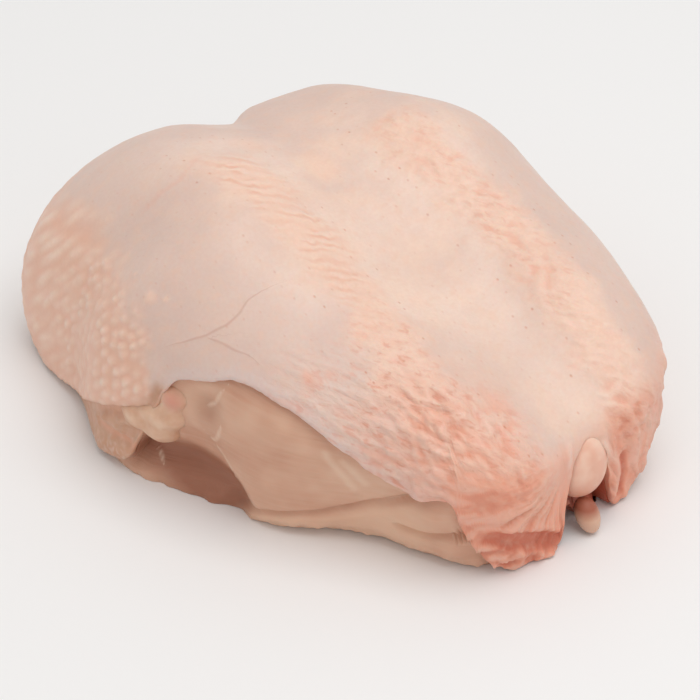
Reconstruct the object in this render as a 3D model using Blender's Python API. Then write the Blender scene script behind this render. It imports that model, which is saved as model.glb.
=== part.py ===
"""A whole raw chicken breast on the bone, lying on its ribs with the skin side up.

One solid of meat on its rib cage stands on the rims of the ribs, with the hollow of the chest open below,
at the tail slit and at the neck. One sheet of skin lies over it and is trimmed high at both flanks, where
the meat and the cut wing joints show. The neck end points along +Y, the tail end along -Y.

Every point of the breast is found from an angle round it (degrees from +X, seen from above) and a drop:
0 on the crown, 1 at the widest ring, 2 at the foot. Sizes are in millimetres until a mesh is made.
"""
import math

import bmesh
import bpy
import numpy as np

METRES = 0.001
OBJECT_NAME = "chicken_breast"

# The middle of the plan, which becomes the origin.
PLAN_MIDDLE = (-0.14, 7.37)

# Radius of the widest ring. The dip at 84 degrees is the notch between the two lobes at the neck.
OUTLINE = [(-112, 96), (-90, 88), (-68, 94), (-45, 77.5), (-20, 74), (0, 78), (22, 92), (42, 101),
           (58, 110), (74, 97), (84, 84), (97, 102), (122, 120), (138, 97.5), (158, 92), (180, 79),
           (203, 79), (225, 79)]

# Height of the widest ring, and the foot's share of its radius.
WIDE_HEIGHT = [(-90, 30), (-45, 42), (0, 26), (45, 10), (84, 55), (130, 10), (180, 36), (225, 33)]
FOOT_SHARE = [(-90, 1.03), (-45, 0.76), (0, 0.88), (45, 0.85), (90, 0.87), (135, 0.98), (180, 0.96),
              (225, 0.8)]

# Along the breast, from tail to neck: height of the valley over the keel, height of the two crests,
# distance from the valley to a crest, and how far the valley bends towards +X.
VALLEY_HEIGHT = [(-110, 44), (-70, 50), (-20, 58.5), (30, 72.5), (70, 73), (110, 65)]
CREST_HEIGHT = [(-110, 46), (-70, 60), (-20, 70), (30, 87), (70, 84), (110, 77)]
CREST_AWAY = [(-110, 25), (-60, 35), (0, 48), (60, 48), (110, 42)]
VALLEY_BEND = [(-90, 0), (-30, 0), (30, 5), (90, 16)]

# How full the dome is in plan and in height: 1 is an ellipse, less is fuller.
FULL_PLAN = 0.9
FULL_HEIGHT = 0.8

# The drop at which the skin ends: near the floor at both shoulders and tail flaps, high at the flanks,
# and in a notch round the tip of the keel.
SKIN_EDGE = [(-176, 0.87), (-168, 0.78), (-158, 0.77), (-149, 0.83), (-139, 0.97), (-129, 1.08),
             (-122, 1.1), (-118, 1.36), (-114, 1.68), (-108, 1.74), (-100, 1.74), (-97, 1.56), (-95, 1.1),
             (-89, 0.93), (-83.5, 1.06), (-81.5, 1.45), (-78.5, 1.72), (-70, 1.74), (-60, 1.5), (-45, 1.05),
             (-25, 0.86), (-5, 0.82), (8, 0.9), (20, 1.15), (32, 1.6), (45, 1.7), (62, 1.5), (76, 1.2),
             (92, 1.2), (106, 1.5), (122, 1.7), (140, 1.74), (152, 1.74), (158, 1.7), (163, 1.56),
             (167, 1.25), (171, 1.04), (176, 0.94)]
SKIN_EDGE_LOWEST = 1.76

SKIN_THICKNESS = 2.2
REST_GAP = 0.35

# The meat of the flanks swells back out below the skin's edge, within this share of the way to the foot.
FLANK_INSET = 0.6
FLANK_SWELL = 0.6

# A shaded hollow in each flank, under the wing joint: place, reach in degrees and in drop, and depth.
HOLLOW_ANGLES = (-178, 2)
HOLLOW_DROP = 1.36
HOLLOW_REACH = (17, 0.3)
HOLLOW_DEPTH = 4.0

# Openings under the breast: angle, half width in degrees, and height.
TAIL_SLIT = (-92.5, 4.2, 12.0)
NECK_ARCH = (86, 26, 17.0)

# The chest hollow: width of the foot that it stands on, and its height from tail to neck.
FOOT_WIDTH = 11.0
CHEST_HEIGHT = [(-80, 24), (0, 36), (80, 42)]

# Rings of facets: under the skin, on the bare flank, and up the chest hollow.
SEGMENTS = 72
COVERED_RINGS = 17
FLANK_RINGS = 6
CHEST_RINGS = 9
EGG_SEGMENTS = 14
EGG_RINGS = 8

# Where the segments crowd together: angle, reach in degrees, and how much denser they are.
CROWDED = [(-90, 20, 2.6), (84, 22, 0.8)]

# The tip of the keel, in its pocket at the tail end: middle, half sizes and tilt about X.
KEEL_TIP_MIDDLE = (2.4, -86.0, 21.5)
KEEL_TIP_SIZE = (6.8, 6.5, 10.5)
KEEL_TIP_TILT = 12

# The pale end of a rib at the foot of the left tail flap.
RIB_END_MIDDLE = (0.9, -90.3, 5.8)
RIB_END_SIZE = (3.6, 3.6, 5.9)
RIB_END_TILT = -33

# Lumps of fat round a cut wing joint: steps in degrees and in drop from its middle, and radius.
WING_JOINT_DROP = 1.06
WING_JOINT_ANGLES = {"wing_joint_right": 172.5, "wing_joint_left": 7.5}
FAT_LUMPS = [(0.5, 0, 7.2), (4, 0.03, 6.0), (-5, 0.03, 6.6), (1.5, 0.14, 6.2)]
FAT_SINK = 5.2
FAT_STRETCH = (1.0, 1.1, 0.9)

SKIN_COLOUR = (0.76, 0.57, 0.46)
MEAT_COLOUR = (0.53, 0.31, 0.22)
CARTILAGE_COLOUR = (0.72, 0.47, 0.36)
FAT_COLOUR = (0.69, 0.46, 0.33)


def hermite(stations, values, slopes, query):
    """A smooth line through values at stations, with the given slopes."""
    query = np.clip(query, stations[0], stations[-1])
    index = np.clip(np.searchsorted(stations, query, side="right") - 1, 0, len(stations) - 2)
    step = stations[index + 1] - stations[index]
    part = (query - stations[index]) / step
    rest = 1 - part
    return (
        (1 + 2 * part) * rest**2 * values[index]
        + part * rest**2 * step * slopes[index]
        + part**2 * (3 - 2 * part) * values[index + 1]
        - part**2 * rest * step * slopes[index + 1]
    )


def along(points):
    """A smooth value along the breast, from (y, value) pairs."""
    stations, values = (np.array(column, float) for column in zip(*points))
    slopes = np.gradient(values, stations)
    return lambda y: hermite(stations, values, slopes, y)


def around(points):
    """A smooth value round the breast, from (degrees, value) pairs."""
    stations, values = (np.array(column, float) for column in zip(*sorted(points)))
    laps = np.concatenate([stations - 360, stations, stations + 360])
    values = np.tile(values, 3)
    slopes = np.gradient(values, laps)
    first = stations[0]
    return lambda degrees: hermite(laps, values, slopes, np.mod(degrees - first, 360) + first)


wide_radius = around(OUTLINE)
wide_height = around(WIDE_HEIGHT)
foot_share = around(FOOT_SHARE)
valley_height = along(VALLEY_HEIGHT)
crest_height = along(CREST_HEIGHT)
crest_away = along(CREST_AWAY)
valley_bend = along(VALLEY_BEND)
chest_height = along(CHEST_HEIGHT)


def bump(distance):
    """1 at the middle, falling smoothly to 0 at a distance of 1."""
    near = np.clip(1 - np.abs(distance), 0, 1)
    return near * near * (3 - 2 * near)


def turn_between(degrees, middle):
    """The signed angle from middle to degrees, from -180 to 180."""
    return np.mod(degrees - middle + 180, 360) - 180


def skin_edge(degrees):
    return np.minimum(around(SKIN_EDGE)(degrees), SKIN_EDGE_LOWEST)


def foot_lift(degrees):
    """Height of the foot's rim, which rises over the tail slit and the neck arch."""
    lift = 0
    for middle, half, height in (TAIL_SLIT, NECK_ARCH):
        reach = np.clip(np.abs(turn_between(degrees, middle)) / half, 0, 1)
        lift = lift + height * np.sqrt(1 - reach**2)
    return lift


def crown_height(x, y):
    """Height of the two lobes and of the valley between them, before they round off to the sides."""
    across = np.clip(np.abs(x - valley_bend(y)) / crest_away(y), 0, 1)
    rise = 0.5 - 0.5 * np.cos(math.pi * across)
    return valley_height(y) + (crest_height(y) - valley_height(y)) * rise


def outer_form(degrees, drop):
    """The outside of the whole breast."""
    inward = np.clip(drop, 0, 1) * math.pi / 2
    under = np.clip(drop - 1, 0, 1) * math.pi / 2
    share = np.sin(inward) ** FULL_PLAN * (1 - (1 - foot_share(degrees)) * (1 - np.cos(under)))
    radius = wide_radius(degrees) * share
    x = radius * np.cos(np.radians(degrees))
    y = radius * np.sin(np.radians(degrees))
    wide = wide_height(degrees)
    z = wide + (crown_height(x, y) - wide) * np.cos(inward) ** FULL_HEIGHT
    z = z - (wide - foot_lift(degrees)) * np.sin(under)
    return np.stack([x, y, z], axis=-1)


def outward(degrees, drop):
    """Unit normals of the outside."""
    turn, slip = 0.6, 0.012
    drop = np.maximum(drop, 2 * slip)
    round_it = outer_form(degrees + turn, drop) - outer_form(degrees - turn, drop)
    down_it = outer_form(degrees, np.minimum(drop + slip, 2)) - outer_form(degrees, drop - slip)
    normal = np.cross(down_it, round_it)
    return normal / np.linalg.norm(normal, axis=-1, keepdims=True)


def inset_form(degrees, drop, depth):
    """The outside moved inwards by depth, which may differ from point to point."""
    return outer_form(degrees, drop) - outward(degrees, drop) * np.reshape(depth, (-1, 1))


def flank_depth(degrees, below_edge, drop):
    """How far the bare meat lies inside the outer form: below_edge is 0 at the skin and 1 at the foot."""
    under_skin = SKIN_THICKNESS + REST_GAP
    depth = under_skin + (FLANK_INSET - under_skin) * np.clip(below_edge / FLANK_SWELL, 0, 1) ** 1.5
    for middle in HOLLOW_ANGLES:
        aside = turn_between(degrees, middle) / HOLLOW_REACH[0]
        away = (drop - HOLLOW_DROP) / HOLLOW_REACH[1]
        depth = depth + HOLLOW_DEPTH * bump(np.hypot(aside, away))
    return depth


def chest_form(degrees, climb):
    """The hollow of the chest, from the inner edge of the foot (climb 0) to its middle (climb 1)."""
    foot_radius = wide_radius(degrees) * foot_share(degrees) - FOOT_WIDTH
    radius = foot_radius * np.cos(climb * math.pi / 2) ** FULL_PLAN
    x = radius * np.cos(np.radians(degrees))
    y = radius * np.sin(np.radians(degrees))
    rim = foot_lift(degrees)
    z = rim + (chest_height(y) - rim) * np.sin(climb * math.pi / 2) ** FULL_HEIGHT
    return np.stack([x, y, z], axis=-1)


def spread_angles(turns):
    """Angles for turns from 0 to 1, closer together at the tail slit and at the neck's notch."""
    degrees = np.linspace(-180, 180, 721)
    density = np.ones(len(degrees))
    for middle, reach, extra in CROWDED:
        density += extra * bump(turn_between(degrees, middle) / reach)
    steps = np.concatenate([[0], np.cumsum((density[1:] + density[:-1]) / 2)])
    return np.interp(turns, steps / steps[-1], degrees)


def meat_surface(turns, ring):
    """The closed surface of the meat, ring by ring: under the skin, down the flank, up the chest."""
    degrees = spread_angles(turns)
    edge = skin_edge(degrees)
    covered_drop = edge * np.minimum(ring / COVERED_RINGS, 1)
    covered = inset_form(degrees, covered_drop, np.full(len(degrees), SKIN_THICKNESS + REST_GAP))
    below = np.clip((ring - COVERED_RINGS) / FLANK_RINGS, 0, 1)
    flank_drop = edge + (2 - edge) * below
    flank = inset_form(degrees, flank_drop, flank_depth(degrees, below, flank_drop))
    flank[:, 2] = np.maximum(flank[:, 2], 0)
    last = COVERED_RINGS + FLANK_RINGS
    flank[ring >= last, 2] = foot_lift(degrees)[ring >= last]
    chest = chest_form(degrees, np.clip((ring - last - 1) / CHEST_RINGS, 0, 1))
    points = np.where((ring > COVERED_RINGS)[:, None], flank, covered)
    return np.where((ring > last)[:, None], chest, points)


def skin_surface(turns, ring):
    """The closed surface of the skin: its outside down to the cut edge, and its inside back up."""
    degrees = spread_angles(turns)
    edge = skin_edge(degrees)
    last = 2 * COVERED_RINGS + 1
    inside = ring > COVERED_RINGS
    step = np.where(inside, last - ring, ring)
    depth = np.where(inside, SKIN_THICKNESS, 0)
    return inset_form(degrees, edge * step / COVERED_RINGS, depth)


def new_material(name, colour, roughness):
    material = bpy.data.materials.new(name)
    material.use_nodes = True
    shader = material.node_tree.nodes["Principled BSDF"]
    shader.inputs["Base Color"].default_value = (*colour, 1)
    shader.inputs["Roughness"].default_value = roughness
    shader.inputs["Metallic"].default_value = 0
    return material


def to_world(points):
    """From millimetres about the plan's own centre to metres about the origin."""
    return (points - np.array([*PLAN_MIDDLE, 0])) * METRES


def set_points(mesh, points):
    mesh.vertices.foreach_set("co", to_world(points).ravel())
    mesh.update()


def get_points(mesh):
    points = np.empty(3 * len(mesh.vertices))
    mesh.vertices.foreach_get("co", points)
    return points.reshape(-1, 3)


def shaped_sphere(name, ring_count, surface):
    """A sphere primitive whose rings are drawn out into the given surface."""
    bpy.ops.mesh.primitive_uv_sphere_add(segments=SEGMENTS, ring_count=ring_count, radius=1)
    piece = bpy.context.object
    piece.name = name
    ball = get_points(piece.data)
    turns = np.mod(np.arctan2(ball[:, 1], ball[:, 0]) / (2 * math.pi) + 0.5, 1)
    ring = np.round(np.arccos(np.clip(ball[:, 2], -1, 1)) / math.pi * ring_count)
    set_points(piece.data, surface(turns, ring))
    split_quads(piece.data)
    piece.data.shade_smooth()
    return piece


def split_quads(mesh):
    """Split each face along its shorter diagonal, so that two parallel surfaces are split alike."""
    faces = bmesh.new()
    faces.from_mesh(mesh)
    bmesh.ops.triangulate(faces, faces=faces.faces, quad_method="SHORT_EDGE")
    faces.to_mesh(mesh)
    faces.free()


def egg(name, middle, half_sizes, tilt=0, grow=0.0):
    """An egg of the given half sizes, tilted about X and grown by a clearance."""
    bpy.ops.mesh.primitive_uv_sphere_add(segments=EGG_SEGMENTS, ring_count=EGG_RINGS, radius=1)
    piece = bpy.context.object
    piece.name = name
    points = get_points(piece.data) * (np.array(half_sizes) + grow)
    lean = math.radians(tilt)
    turn = np.array([[1, 0, 0], [0, math.cos(lean), -math.sin(lean)], [0, math.sin(lean), math.cos(lean)]])
    set_points(piece.data, points @ turn.T + np.array(middle))
    piece.data.shade_smooth()
    return piece


def fat_cluster(name, middle_degrees, grow=0.0):
    """Lumps of fat sunk in the flank round one wing joint, joined in one solid."""
    side = 1 if abs(middle_degrees) > 90 else -1
    lumps = []
    for turn, fall, radius in FAT_LUMPS:
        degrees = np.array([middle_degrees + side * turn])
        drop = np.array([WING_JOINT_DROP + fall])
        middle = inset_form(degrees, drop, np.array([FAT_SINK]))[0]
        half_sizes = [radius * stretch for stretch in FAT_STRETCH]
        lumps.append(egg(f"{name}_lump", middle, half_sizes, grow=grow))
    cluster = lumps[0]
    cluster.name = name
    for lump in lumps[1:]:
        boolean(cluster, lump, "UNION")
        bpy.data.objects.remove(lump)
    return cluster


def boolean(piece, other, operation):
    """Join other to piece, or cut it out, and keep the result as piece's mesh."""
    modifier = piece.modifiers.new("cut", "BOOLEAN")
    modifier.operation = operation
    modifier.object = other
    modifier.solver = "EXACT"
    depsgraph = bpy.context.evaluated_depsgraph_get()
    result = bpy.data.meshes.new_from_object(piece.evaluated_get(depsgraph))
    piece.modifiers.remove(modifier)
    piece.data = result


def cutter_for(build_piece, cutters, *arguments):
    """The same piece, grown by the resting gap, as a hidden cutter."""
    cutter = build_piece(*arguments, grow=REST_GAP)
    cutter.hide_render = True
    cutter.display_type = "WIRE"
    move_to(cutter, cutters)
    return cutter


def move_to(piece, collection):
    for owner in list(piece.users_collection):
        owner.objects.unlink(piece)
    collection.objects.link(piece)


def new_collection(name):
    collection = bpy.data.collections.new(name)
    bpy.context.scene.collection.children.link(collection)
    return collection


def finish_piece(piece, material, collection):
    piece.data.materials.clear()
    piece.data.materials.append(material)
    move_to(piece, collection)


def build_breast():
    for old in list(bpy.data.objects):
        bpy.data.objects.remove(old)
    parts = new_collection(OBJECT_NAME)
    cutters = new_collection("cutters")

    flesh = shaped_sphere("flesh", COVERED_RINGS + FLANK_RINGS + 1 + CHEST_RINGS, meat_surface)
    skin = shaped_sphere("skin", 2 * COVERED_RINGS + 1, skin_surface)
    keel_tip = egg("keel_tip", KEEL_TIP_MIDDLE, KEEL_TIP_SIZE, KEEL_TIP_TILT)
    rib_end = egg("rib_end", RIB_END_MIDDLE, RIB_END_SIZE, RIB_END_TILT)
    pockets = [
        cutter_for(egg, cutters, "keel_tip_pocket", KEEL_TIP_MIDDLE, KEEL_TIP_SIZE, KEEL_TIP_TILT),
        cutter_for(egg, cutters, "rib_end_pocket", RIB_END_MIDDLE, RIB_END_SIZE, RIB_END_TILT),
    ]
    wing_joints = []
    for name, degrees in WING_JOINT_ANGLES.items():
        wing_joints.append(fat_cluster(name, degrees))
        pockets.append(cutter_for(fat_cluster, cutters, f"{name}_pocket", degrees))
    for pocket in pockets:
        boolean(flesh, pocket, "DIFFERENCE")
        boolean(skin, pocket, "DIFFERENCE")

    fat = new_material("pale_fat", FAT_COLOUR, 0.4)
    cartilage = new_material("cartilage", CARTILAGE_COLOUR, 0.35)
    finish_piece(flesh, new_material("raw_meat", MEAT_COLOUR, 0.42), parts)
    finish_piece(skin, new_material("raw_skin", SKIN_COLOUR, 0.45), parts)
    finish_piece(keel_tip, cartilage, parts)
    finish_piece(rib_end, cartilage, parts)
    for joint in wing_joints:
        finish_piece(joint, fat, parts)
    return parts


def volume_litres(piece):
    solid = bmesh.new()
    solid.from_mesh(piece.data)
    litres = solid.calc_volume() * 1000
    solid.free()
    return litres


for built in build_breast().objects:
    print(f"{built.name}: {len(built.data.polygons)} faces, {volume_litres(built):.4f} litres")
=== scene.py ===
# %% [markdown]
# # A raw chicken breast on the bone
#
# The real thing is one cut of meat: two lobes of breast on their ribs, under one sheet of skin.
# The skin is trimmed high at both flanks, so a band of bare meat shows there.
# This lesson lays a finely modelled skin and meat over a simple solid model, in the same place and size.
# Everything is measured in millimetres about the middle of the breast and turned to metres at the end.

# %% Load the solid model
import math

import bpy
import numpy as np
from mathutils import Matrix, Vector, noise


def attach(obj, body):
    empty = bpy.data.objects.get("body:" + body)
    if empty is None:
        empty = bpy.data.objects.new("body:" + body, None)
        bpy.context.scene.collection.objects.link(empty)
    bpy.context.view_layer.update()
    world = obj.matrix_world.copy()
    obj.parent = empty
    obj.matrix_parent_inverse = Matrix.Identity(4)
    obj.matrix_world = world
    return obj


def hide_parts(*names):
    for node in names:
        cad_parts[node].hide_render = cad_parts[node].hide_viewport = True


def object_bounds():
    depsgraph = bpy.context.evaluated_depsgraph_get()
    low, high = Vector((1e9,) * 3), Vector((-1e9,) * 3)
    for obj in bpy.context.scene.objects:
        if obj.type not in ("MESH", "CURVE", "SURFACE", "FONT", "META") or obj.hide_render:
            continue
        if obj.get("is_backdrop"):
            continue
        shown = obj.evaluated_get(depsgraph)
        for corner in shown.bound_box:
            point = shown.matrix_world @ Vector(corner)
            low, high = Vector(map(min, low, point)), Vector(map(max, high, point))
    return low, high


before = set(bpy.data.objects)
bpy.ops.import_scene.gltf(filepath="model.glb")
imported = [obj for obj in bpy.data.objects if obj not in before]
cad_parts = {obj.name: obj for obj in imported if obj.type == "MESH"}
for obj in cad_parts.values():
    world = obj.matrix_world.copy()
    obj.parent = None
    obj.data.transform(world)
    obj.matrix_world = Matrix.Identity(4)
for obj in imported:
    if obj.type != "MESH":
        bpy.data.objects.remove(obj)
solid_low, solid_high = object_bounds()
print("solid model from", list(solid_low), "to", list(solid_high))

# %% [markdown]
# ## The camera
#
# A long lens from about 80 cm away looks down on the breast from its tail end, over its right flank.
# A long lens keeps the two lobes in proportion, as a food photographer would.

# %% Millimetres to metres
PLAN_MIDDLE = (-0.14, 7.37)
METRES = 0.001


def to_world(points):
    """From millimetres about the breast's own middle to metres about the origin."""
    return (np.asarray(points, float) - np.array([*PLAN_MIDDLE, 0])) * METRES


# %% Camera
HEADING = math.radians(42.6)
LOOK_DOWN = math.radians(36.9)
AIM = (-23.05, -11.5, 36.0)
DISTANCE = 800
LENS = 135

sight = Vector((math.sin(HEADING) * math.cos(LOOK_DOWN),
                math.cos(HEADING) * math.cos(LOOK_DOWN),
                -math.sin(LOOK_DOWN)))
bpy.ops.object.camera_add()
camera = bpy.context.object
camera.name = "camera"
camera.location = Vector(to_world(AIM)) - sight * DISTANCE * METRES
camera.rotation_euler = sight.to_track_quat("-Z", "Y").to_euler()
camera.data.lens = LENS
camera.data.sensor_width = 36
camera.data.clip_start = 0.05
bpy.context.scene.camera = camera
print("camera at", [round(value, 3) for value in camera.location])

# %% [markdown]
# ## The form of the whole breast
#
# Every point is found from an angle round the breast (degrees from +X, seen from above) and a drop:
# 0 on the crown, 1 at the widest ring, 2 at the foot. Skin and meat are both drawn from this one form,
# so they fit on each other everywhere. A few measured points give each line, and a smooth curve joins them.

# %% Smooth lines through a few points
def hermite(stations, values, slopes, query):
    """A smooth line through values at stations, with the given slopes."""
    query = np.clip(query, stations[0], stations[-1])
    index = np.clip(np.searchsorted(stations, query, side="right") - 1, 0, len(stations) - 2)
    step = stations[index + 1] - stations[index]
    part = (query - stations[index]) / step
    rest = 1 - part
    return (
        (1 + 2 * part) * rest**2 * values[index]
        + part * rest**2 * step * slopes[index]
        + part**2 * (3 - 2 * part) * values[index + 1]
        - part**2 * rest * step * slopes[index + 1]
    )


def along(points):
    """A smooth value along the breast, from (y, value) pairs."""
    stations, values = (np.array(column, float) for column in zip(*points))
    slopes = np.gradient(values, stations)
    return lambda y: hermite(stations, values, slopes, y)


def around(points):
    """A smooth value round the breast, from (degrees, value) pairs."""
    stations, values = (np.array(column, float) for column in zip(*sorted(points)))
    laps = np.concatenate([stations - 360, stations, stations + 360])
    values = np.tile(values, 3)
    slopes = np.gradient(values, laps)
    first = stations[0]
    return lambda degrees: hermite(laps, values, slopes, np.mod(degrees - first, 360) + first)


# %% Outline and foot
wide_radius = around([(-112, 96), (-90, 88), (-68, 94), (-45, 77.5), (-20, 74), (0, 78), (22, 92),
                      (42, 101), (58, 110), (74, 97), (84, 84), (97, 102), (122, 120), (138, 97.5),
                      (158, 92), (180, 79), (203, 79), (225, 79)])
wide_height = around([(-90, 30), (-45, 42), (0, 26), (45, 10), (84, 55), (130, 10), (180, 36), (225, 33)])
foot_share = around([(-90, 1.03), (-45, 0.76), (0, 0.88), (45, 0.85), (90, 0.87), (135, 0.98), (180, 0.96),
                     (225, 0.8)])
TAIL_SLIT = (-92.5, 4.2, 12.0)
NECK_ARCH = (86, 26, 17.0)
print("widest at", round(float(wide_radius(122.0)), 1), "mm from the middle")


def turn_between(degrees, middle):
    """The signed angle from middle to degrees, from -180 to 180."""
    return np.mod(degrees - middle + 180, 360) - 180


def foot_lift(degrees):
    """Height of the foot's rim, which rises over the tail slit and the neck arch."""
    lift = 0
    for middle, half, height in (TAIL_SLIT, NECK_ARCH):
        reach = np.clip(np.abs(turn_between(degrees, middle)) / half, 0, 1)
        lift = lift + height * np.sqrt(1 - reach**2)
    return lift


# %% The two lobes and the valley between them
valley_height = along([(-110, 44), (-70, 50), (-20, 58.5), (30, 72.5), (70, 73), (110, 65)])
crest_height = along([(-110, 46), (-70, 60), (-20, 70), (30, 87), (70, 84), (110, 77)])
crest_away = along([(-110, 25), (-60, 35), (0, 48), (60, 48), (110, 42)])
valley_bend = along([(-90, 0), (-30, 0), (30, 5), (90, 16)])


def crown_height(x, y):
    """Height of the lobes and the valley, before they round off to the sides."""
    across = np.clip(np.abs(x - valley_bend(y)) / crest_away(y), 0, 1)
    rise = 0.5 - 0.5 * np.cos(math.pi * across)
    return valley_height(y) + (crest_height(y) - valley_height(y)) * rise


# %% The outside of the breast, and its normals
FULL_PLAN = 0.9
FULL_HEIGHT = 0.8


def outer_form(degrees, drop):
    """The outside of the whole breast, in millimetres."""
    degrees = np.asarray(degrees, float)
    inward = np.clip(drop, 0, 1) * math.pi / 2
    under = np.clip(np.asarray(drop) - 1, 0, 1) * math.pi / 2
    share = np.sin(inward) ** FULL_PLAN * (1 - (1 - foot_share(degrees)) * (1 - np.cos(under)))
    radius = wide_radius(degrees) * share
    x = radius * np.cos(np.radians(degrees))
    y = radius * np.sin(np.radians(degrees))
    wide = wide_height(degrees)
    z = wide + (crown_height(x, y) - wide) * np.cos(inward) ** FULL_HEIGHT
    z = z - (wide - foot_lift(degrees)) * np.sin(under)
    return np.stack([x, y, z], axis=-1)


def unit(vectors):
    return vectors / np.linalg.norm(vectors, axis=-1, keepdims=True)


def outward(degrees, drop):
    """Unit normals of the outside."""
    turn, slip = 0.6, 0.012
    drop = np.maximum(drop, 2 * slip)
    round_it = outer_form(degrees + turn, drop) - outer_form(degrees - turn, drop)
    down_it = outer_form(degrees, np.minimum(drop + slip, 2)) - outer_form(degrees, drop - slip)
    return unit(np.cross(down_it, round_it))


print("crown", outer_form(np.array([0.0]), np.array([0.0])).round(1))

# %% [markdown]
# ## Working tools
#
# Blender's operators act on whatever is selected, so each piece starts by deselecting everything.
# Relief is worked out for all points at once: soft noise for lumps, drawn-out noise for wrinkles,
# scattered cells for goose bumps, and the distance to a drawn line for veins, folds and creases.

# %% Selecting and moving points
def deselect_all():
    if bpy.context.object and bpy.context.object.mode != "OBJECT":
        bpy.ops.object.mode_set(mode="OBJECT")
    bpy.ops.object.select_all(action="DESELECT")


def select_only(*pieces):
    deselect_all()
    for piece in pieces:
        piece.select_set(True)
    bpy.context.view_layer.objects.active = pieces[0]


def get_points(piece):
    points = np.empty(3 * len(piece.data.vertices))
    piece.data.vertices.foreach_get("co", points)
    return points.reshape(-1, 3)


def set_points(piece, points):
    """Puts a piece's points where the millimetres say."""
    piece.data.vertices.foreach_set("co", to_world(points).ravel())
    piece.data.update()


def keep(piece, **values):
    """Stores one number for each point under a name that materials can read."""
    for name, numbers in values.items():
        layer = piece.data.attributes.new(name, "FLOAT", "POINT")
        layer.data.foreach_set("value", np.asarray(numbers, np.float32))


# %% Triangles for a grid that runs aslant
def smooth_triangles(piece):
    """Splits each face along its shorter diagonal, so that faces pulled aslant show no teeth."""
    select_only(piece)
    bpy.ops.object.mode_set(mode="EDIT")
    bpy.ops.mesh.select_all(action="SELECT")
    bpy.ops.mesh.quads_convert_to_tris(quad_method="SHORTEST_DIAGONAL", ngon_method="BEAUTY")
    bpy.ops.object.mode_set(mode="OBJECT")
    bpy.ops.object.shade_smooth()


# %% Soft steps
def ease(value, low, high):
    """0 below low, 1 above high, smooth between; a low above the high turns it round."""
    part = np.clip((value - low) / (high - low), 0, 1)
    return part * part * (3 - 2 * part)


def bump(distance):
    """1 at the middle, falling smoothly to 0 at a distance of 1."""
    return ease(np.abs(distance), 1, 0)


# %% Noise
def soft_noise(points, size, seed):
    """Lumps of about this size in millimetres, from -1 to 1."""
    place = points / size + np.array([seed * 7.3, seed * 3.1, seed * 5.7])
    return np.array([noise.noise(each) for each in place.tolist()])


def drawn_noise(points, across, spacing, length, seed):
    """Lumps drawn out into wrinkles: spacing apart along the direction across, and as long as length."""
    across = np.array(across, float) / np.linalg.norm(across)
    aside = (points @ across)[:, None] * across
    return soft_noise(points - aside + aside * (length / spacing), length, seed)


def creases(waves, width):
    """1 in thin grooves where the noise passes through 0, and 0 between them."""
    return np.exp(-((waves / width) ** 2))


# %% Scattered cells
def scatter(cell_u, cell_v, seed):
    """A number from 0 to 1 for each cell that looks random and is always the same."""
    return np.modf(np.abs(np.sin(cell_u * 127.1 + cell_v * 311.7 + seed) * 43758.5453))[0]


def cells(u, v, spacing, jitter, seed):
    """Distance to the nearest and to the next of many scattered middles, in spacings."""
    u = np.asarray(u) / spacing
    v = np.asarray(v) / spacing
    nearest = np.full(len(u), 9.0)
    second = nearest.copy()
    for step_v in (-1, 0, 1):
        row = np.floor(v) + step_v
        shift = 0.5 * np.mod(row, 2)
        for step_u in (-1, 0, 1):
            column = np.floor(u - shift) + step_u
            middle_u = column + shift + 0.5 + jitter * (scatter(column, row, seed) - 0.5)
            middle_v = row + 0.5 + jitter * (scatter(row, column, seed + 5) - 0.5)
            away = np.hypot(middle_u - u, middle_v - v)
            second = np.minimum(second, np.maximum(nearest, away))
            nearest = np.minimum(nearest, away)
    return nearest, second


# %% Lines drawn on the form
def beside(points, places):
    """Millimetres to the left or right of a line through (degrees, drop) places, and the share passed."""
    places = np.array(places, float)
    steps = np.linspace(0, len(places) - 1, 6 * len(places))
    line = outer_form(*(np.interp(steps, np.arange(len(places)), column) for column in places.T))
    nearest = np.full(len(points), 1e9)
    side = np.ones(len(points))
    share = np.zeros(len(points))
    upward = points - np.array([0, 0, 10])
    for index, (start, end) in enumerate(zip(line, line[1:])):
        stretch = end - start
        part = np.clip((points - start) @ stretch / (stretch @ stretch), 0, 1)
        away = np.linalg.norm(points - start - part[:, None] * stretch, axis=1)
        closer = away < nearest
        left = np.sign(np.sum(np.cross(points - start, stretch) * upward, axis=1))
        side = np.where(closer, left, side)
        share = np.where(closer, (index + part) / (len(line) - 1), share)
        nearest = np.minimum(nearest, away)
    return nearest * side, share


def spot(points, degrees, drop, radius):
    """A round patch on the form: 1 at its middle, 0 at its radius."""
    middle = outer_form(np.array([float(degrees)]), np.array([drop]))
    return bump(np.linalg.norm(points - middle, axis=1) / radius)

# %% [markdown]
# ## The skin
#
# Chicken skin is a sheet about 2 mm thick. It is smooth and a little see-through over the lobes, peach
# coloured and finely wrinkled where feathers grew in tracts, pebbled at the shoulders and crumpled at the
# tail. A sheet can be made as a plane that is draped, so this one starts as a square grid. Its rings of
# squares become rings round the crown, which keeps the faces small and even, with no pinched pole on top.

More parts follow.
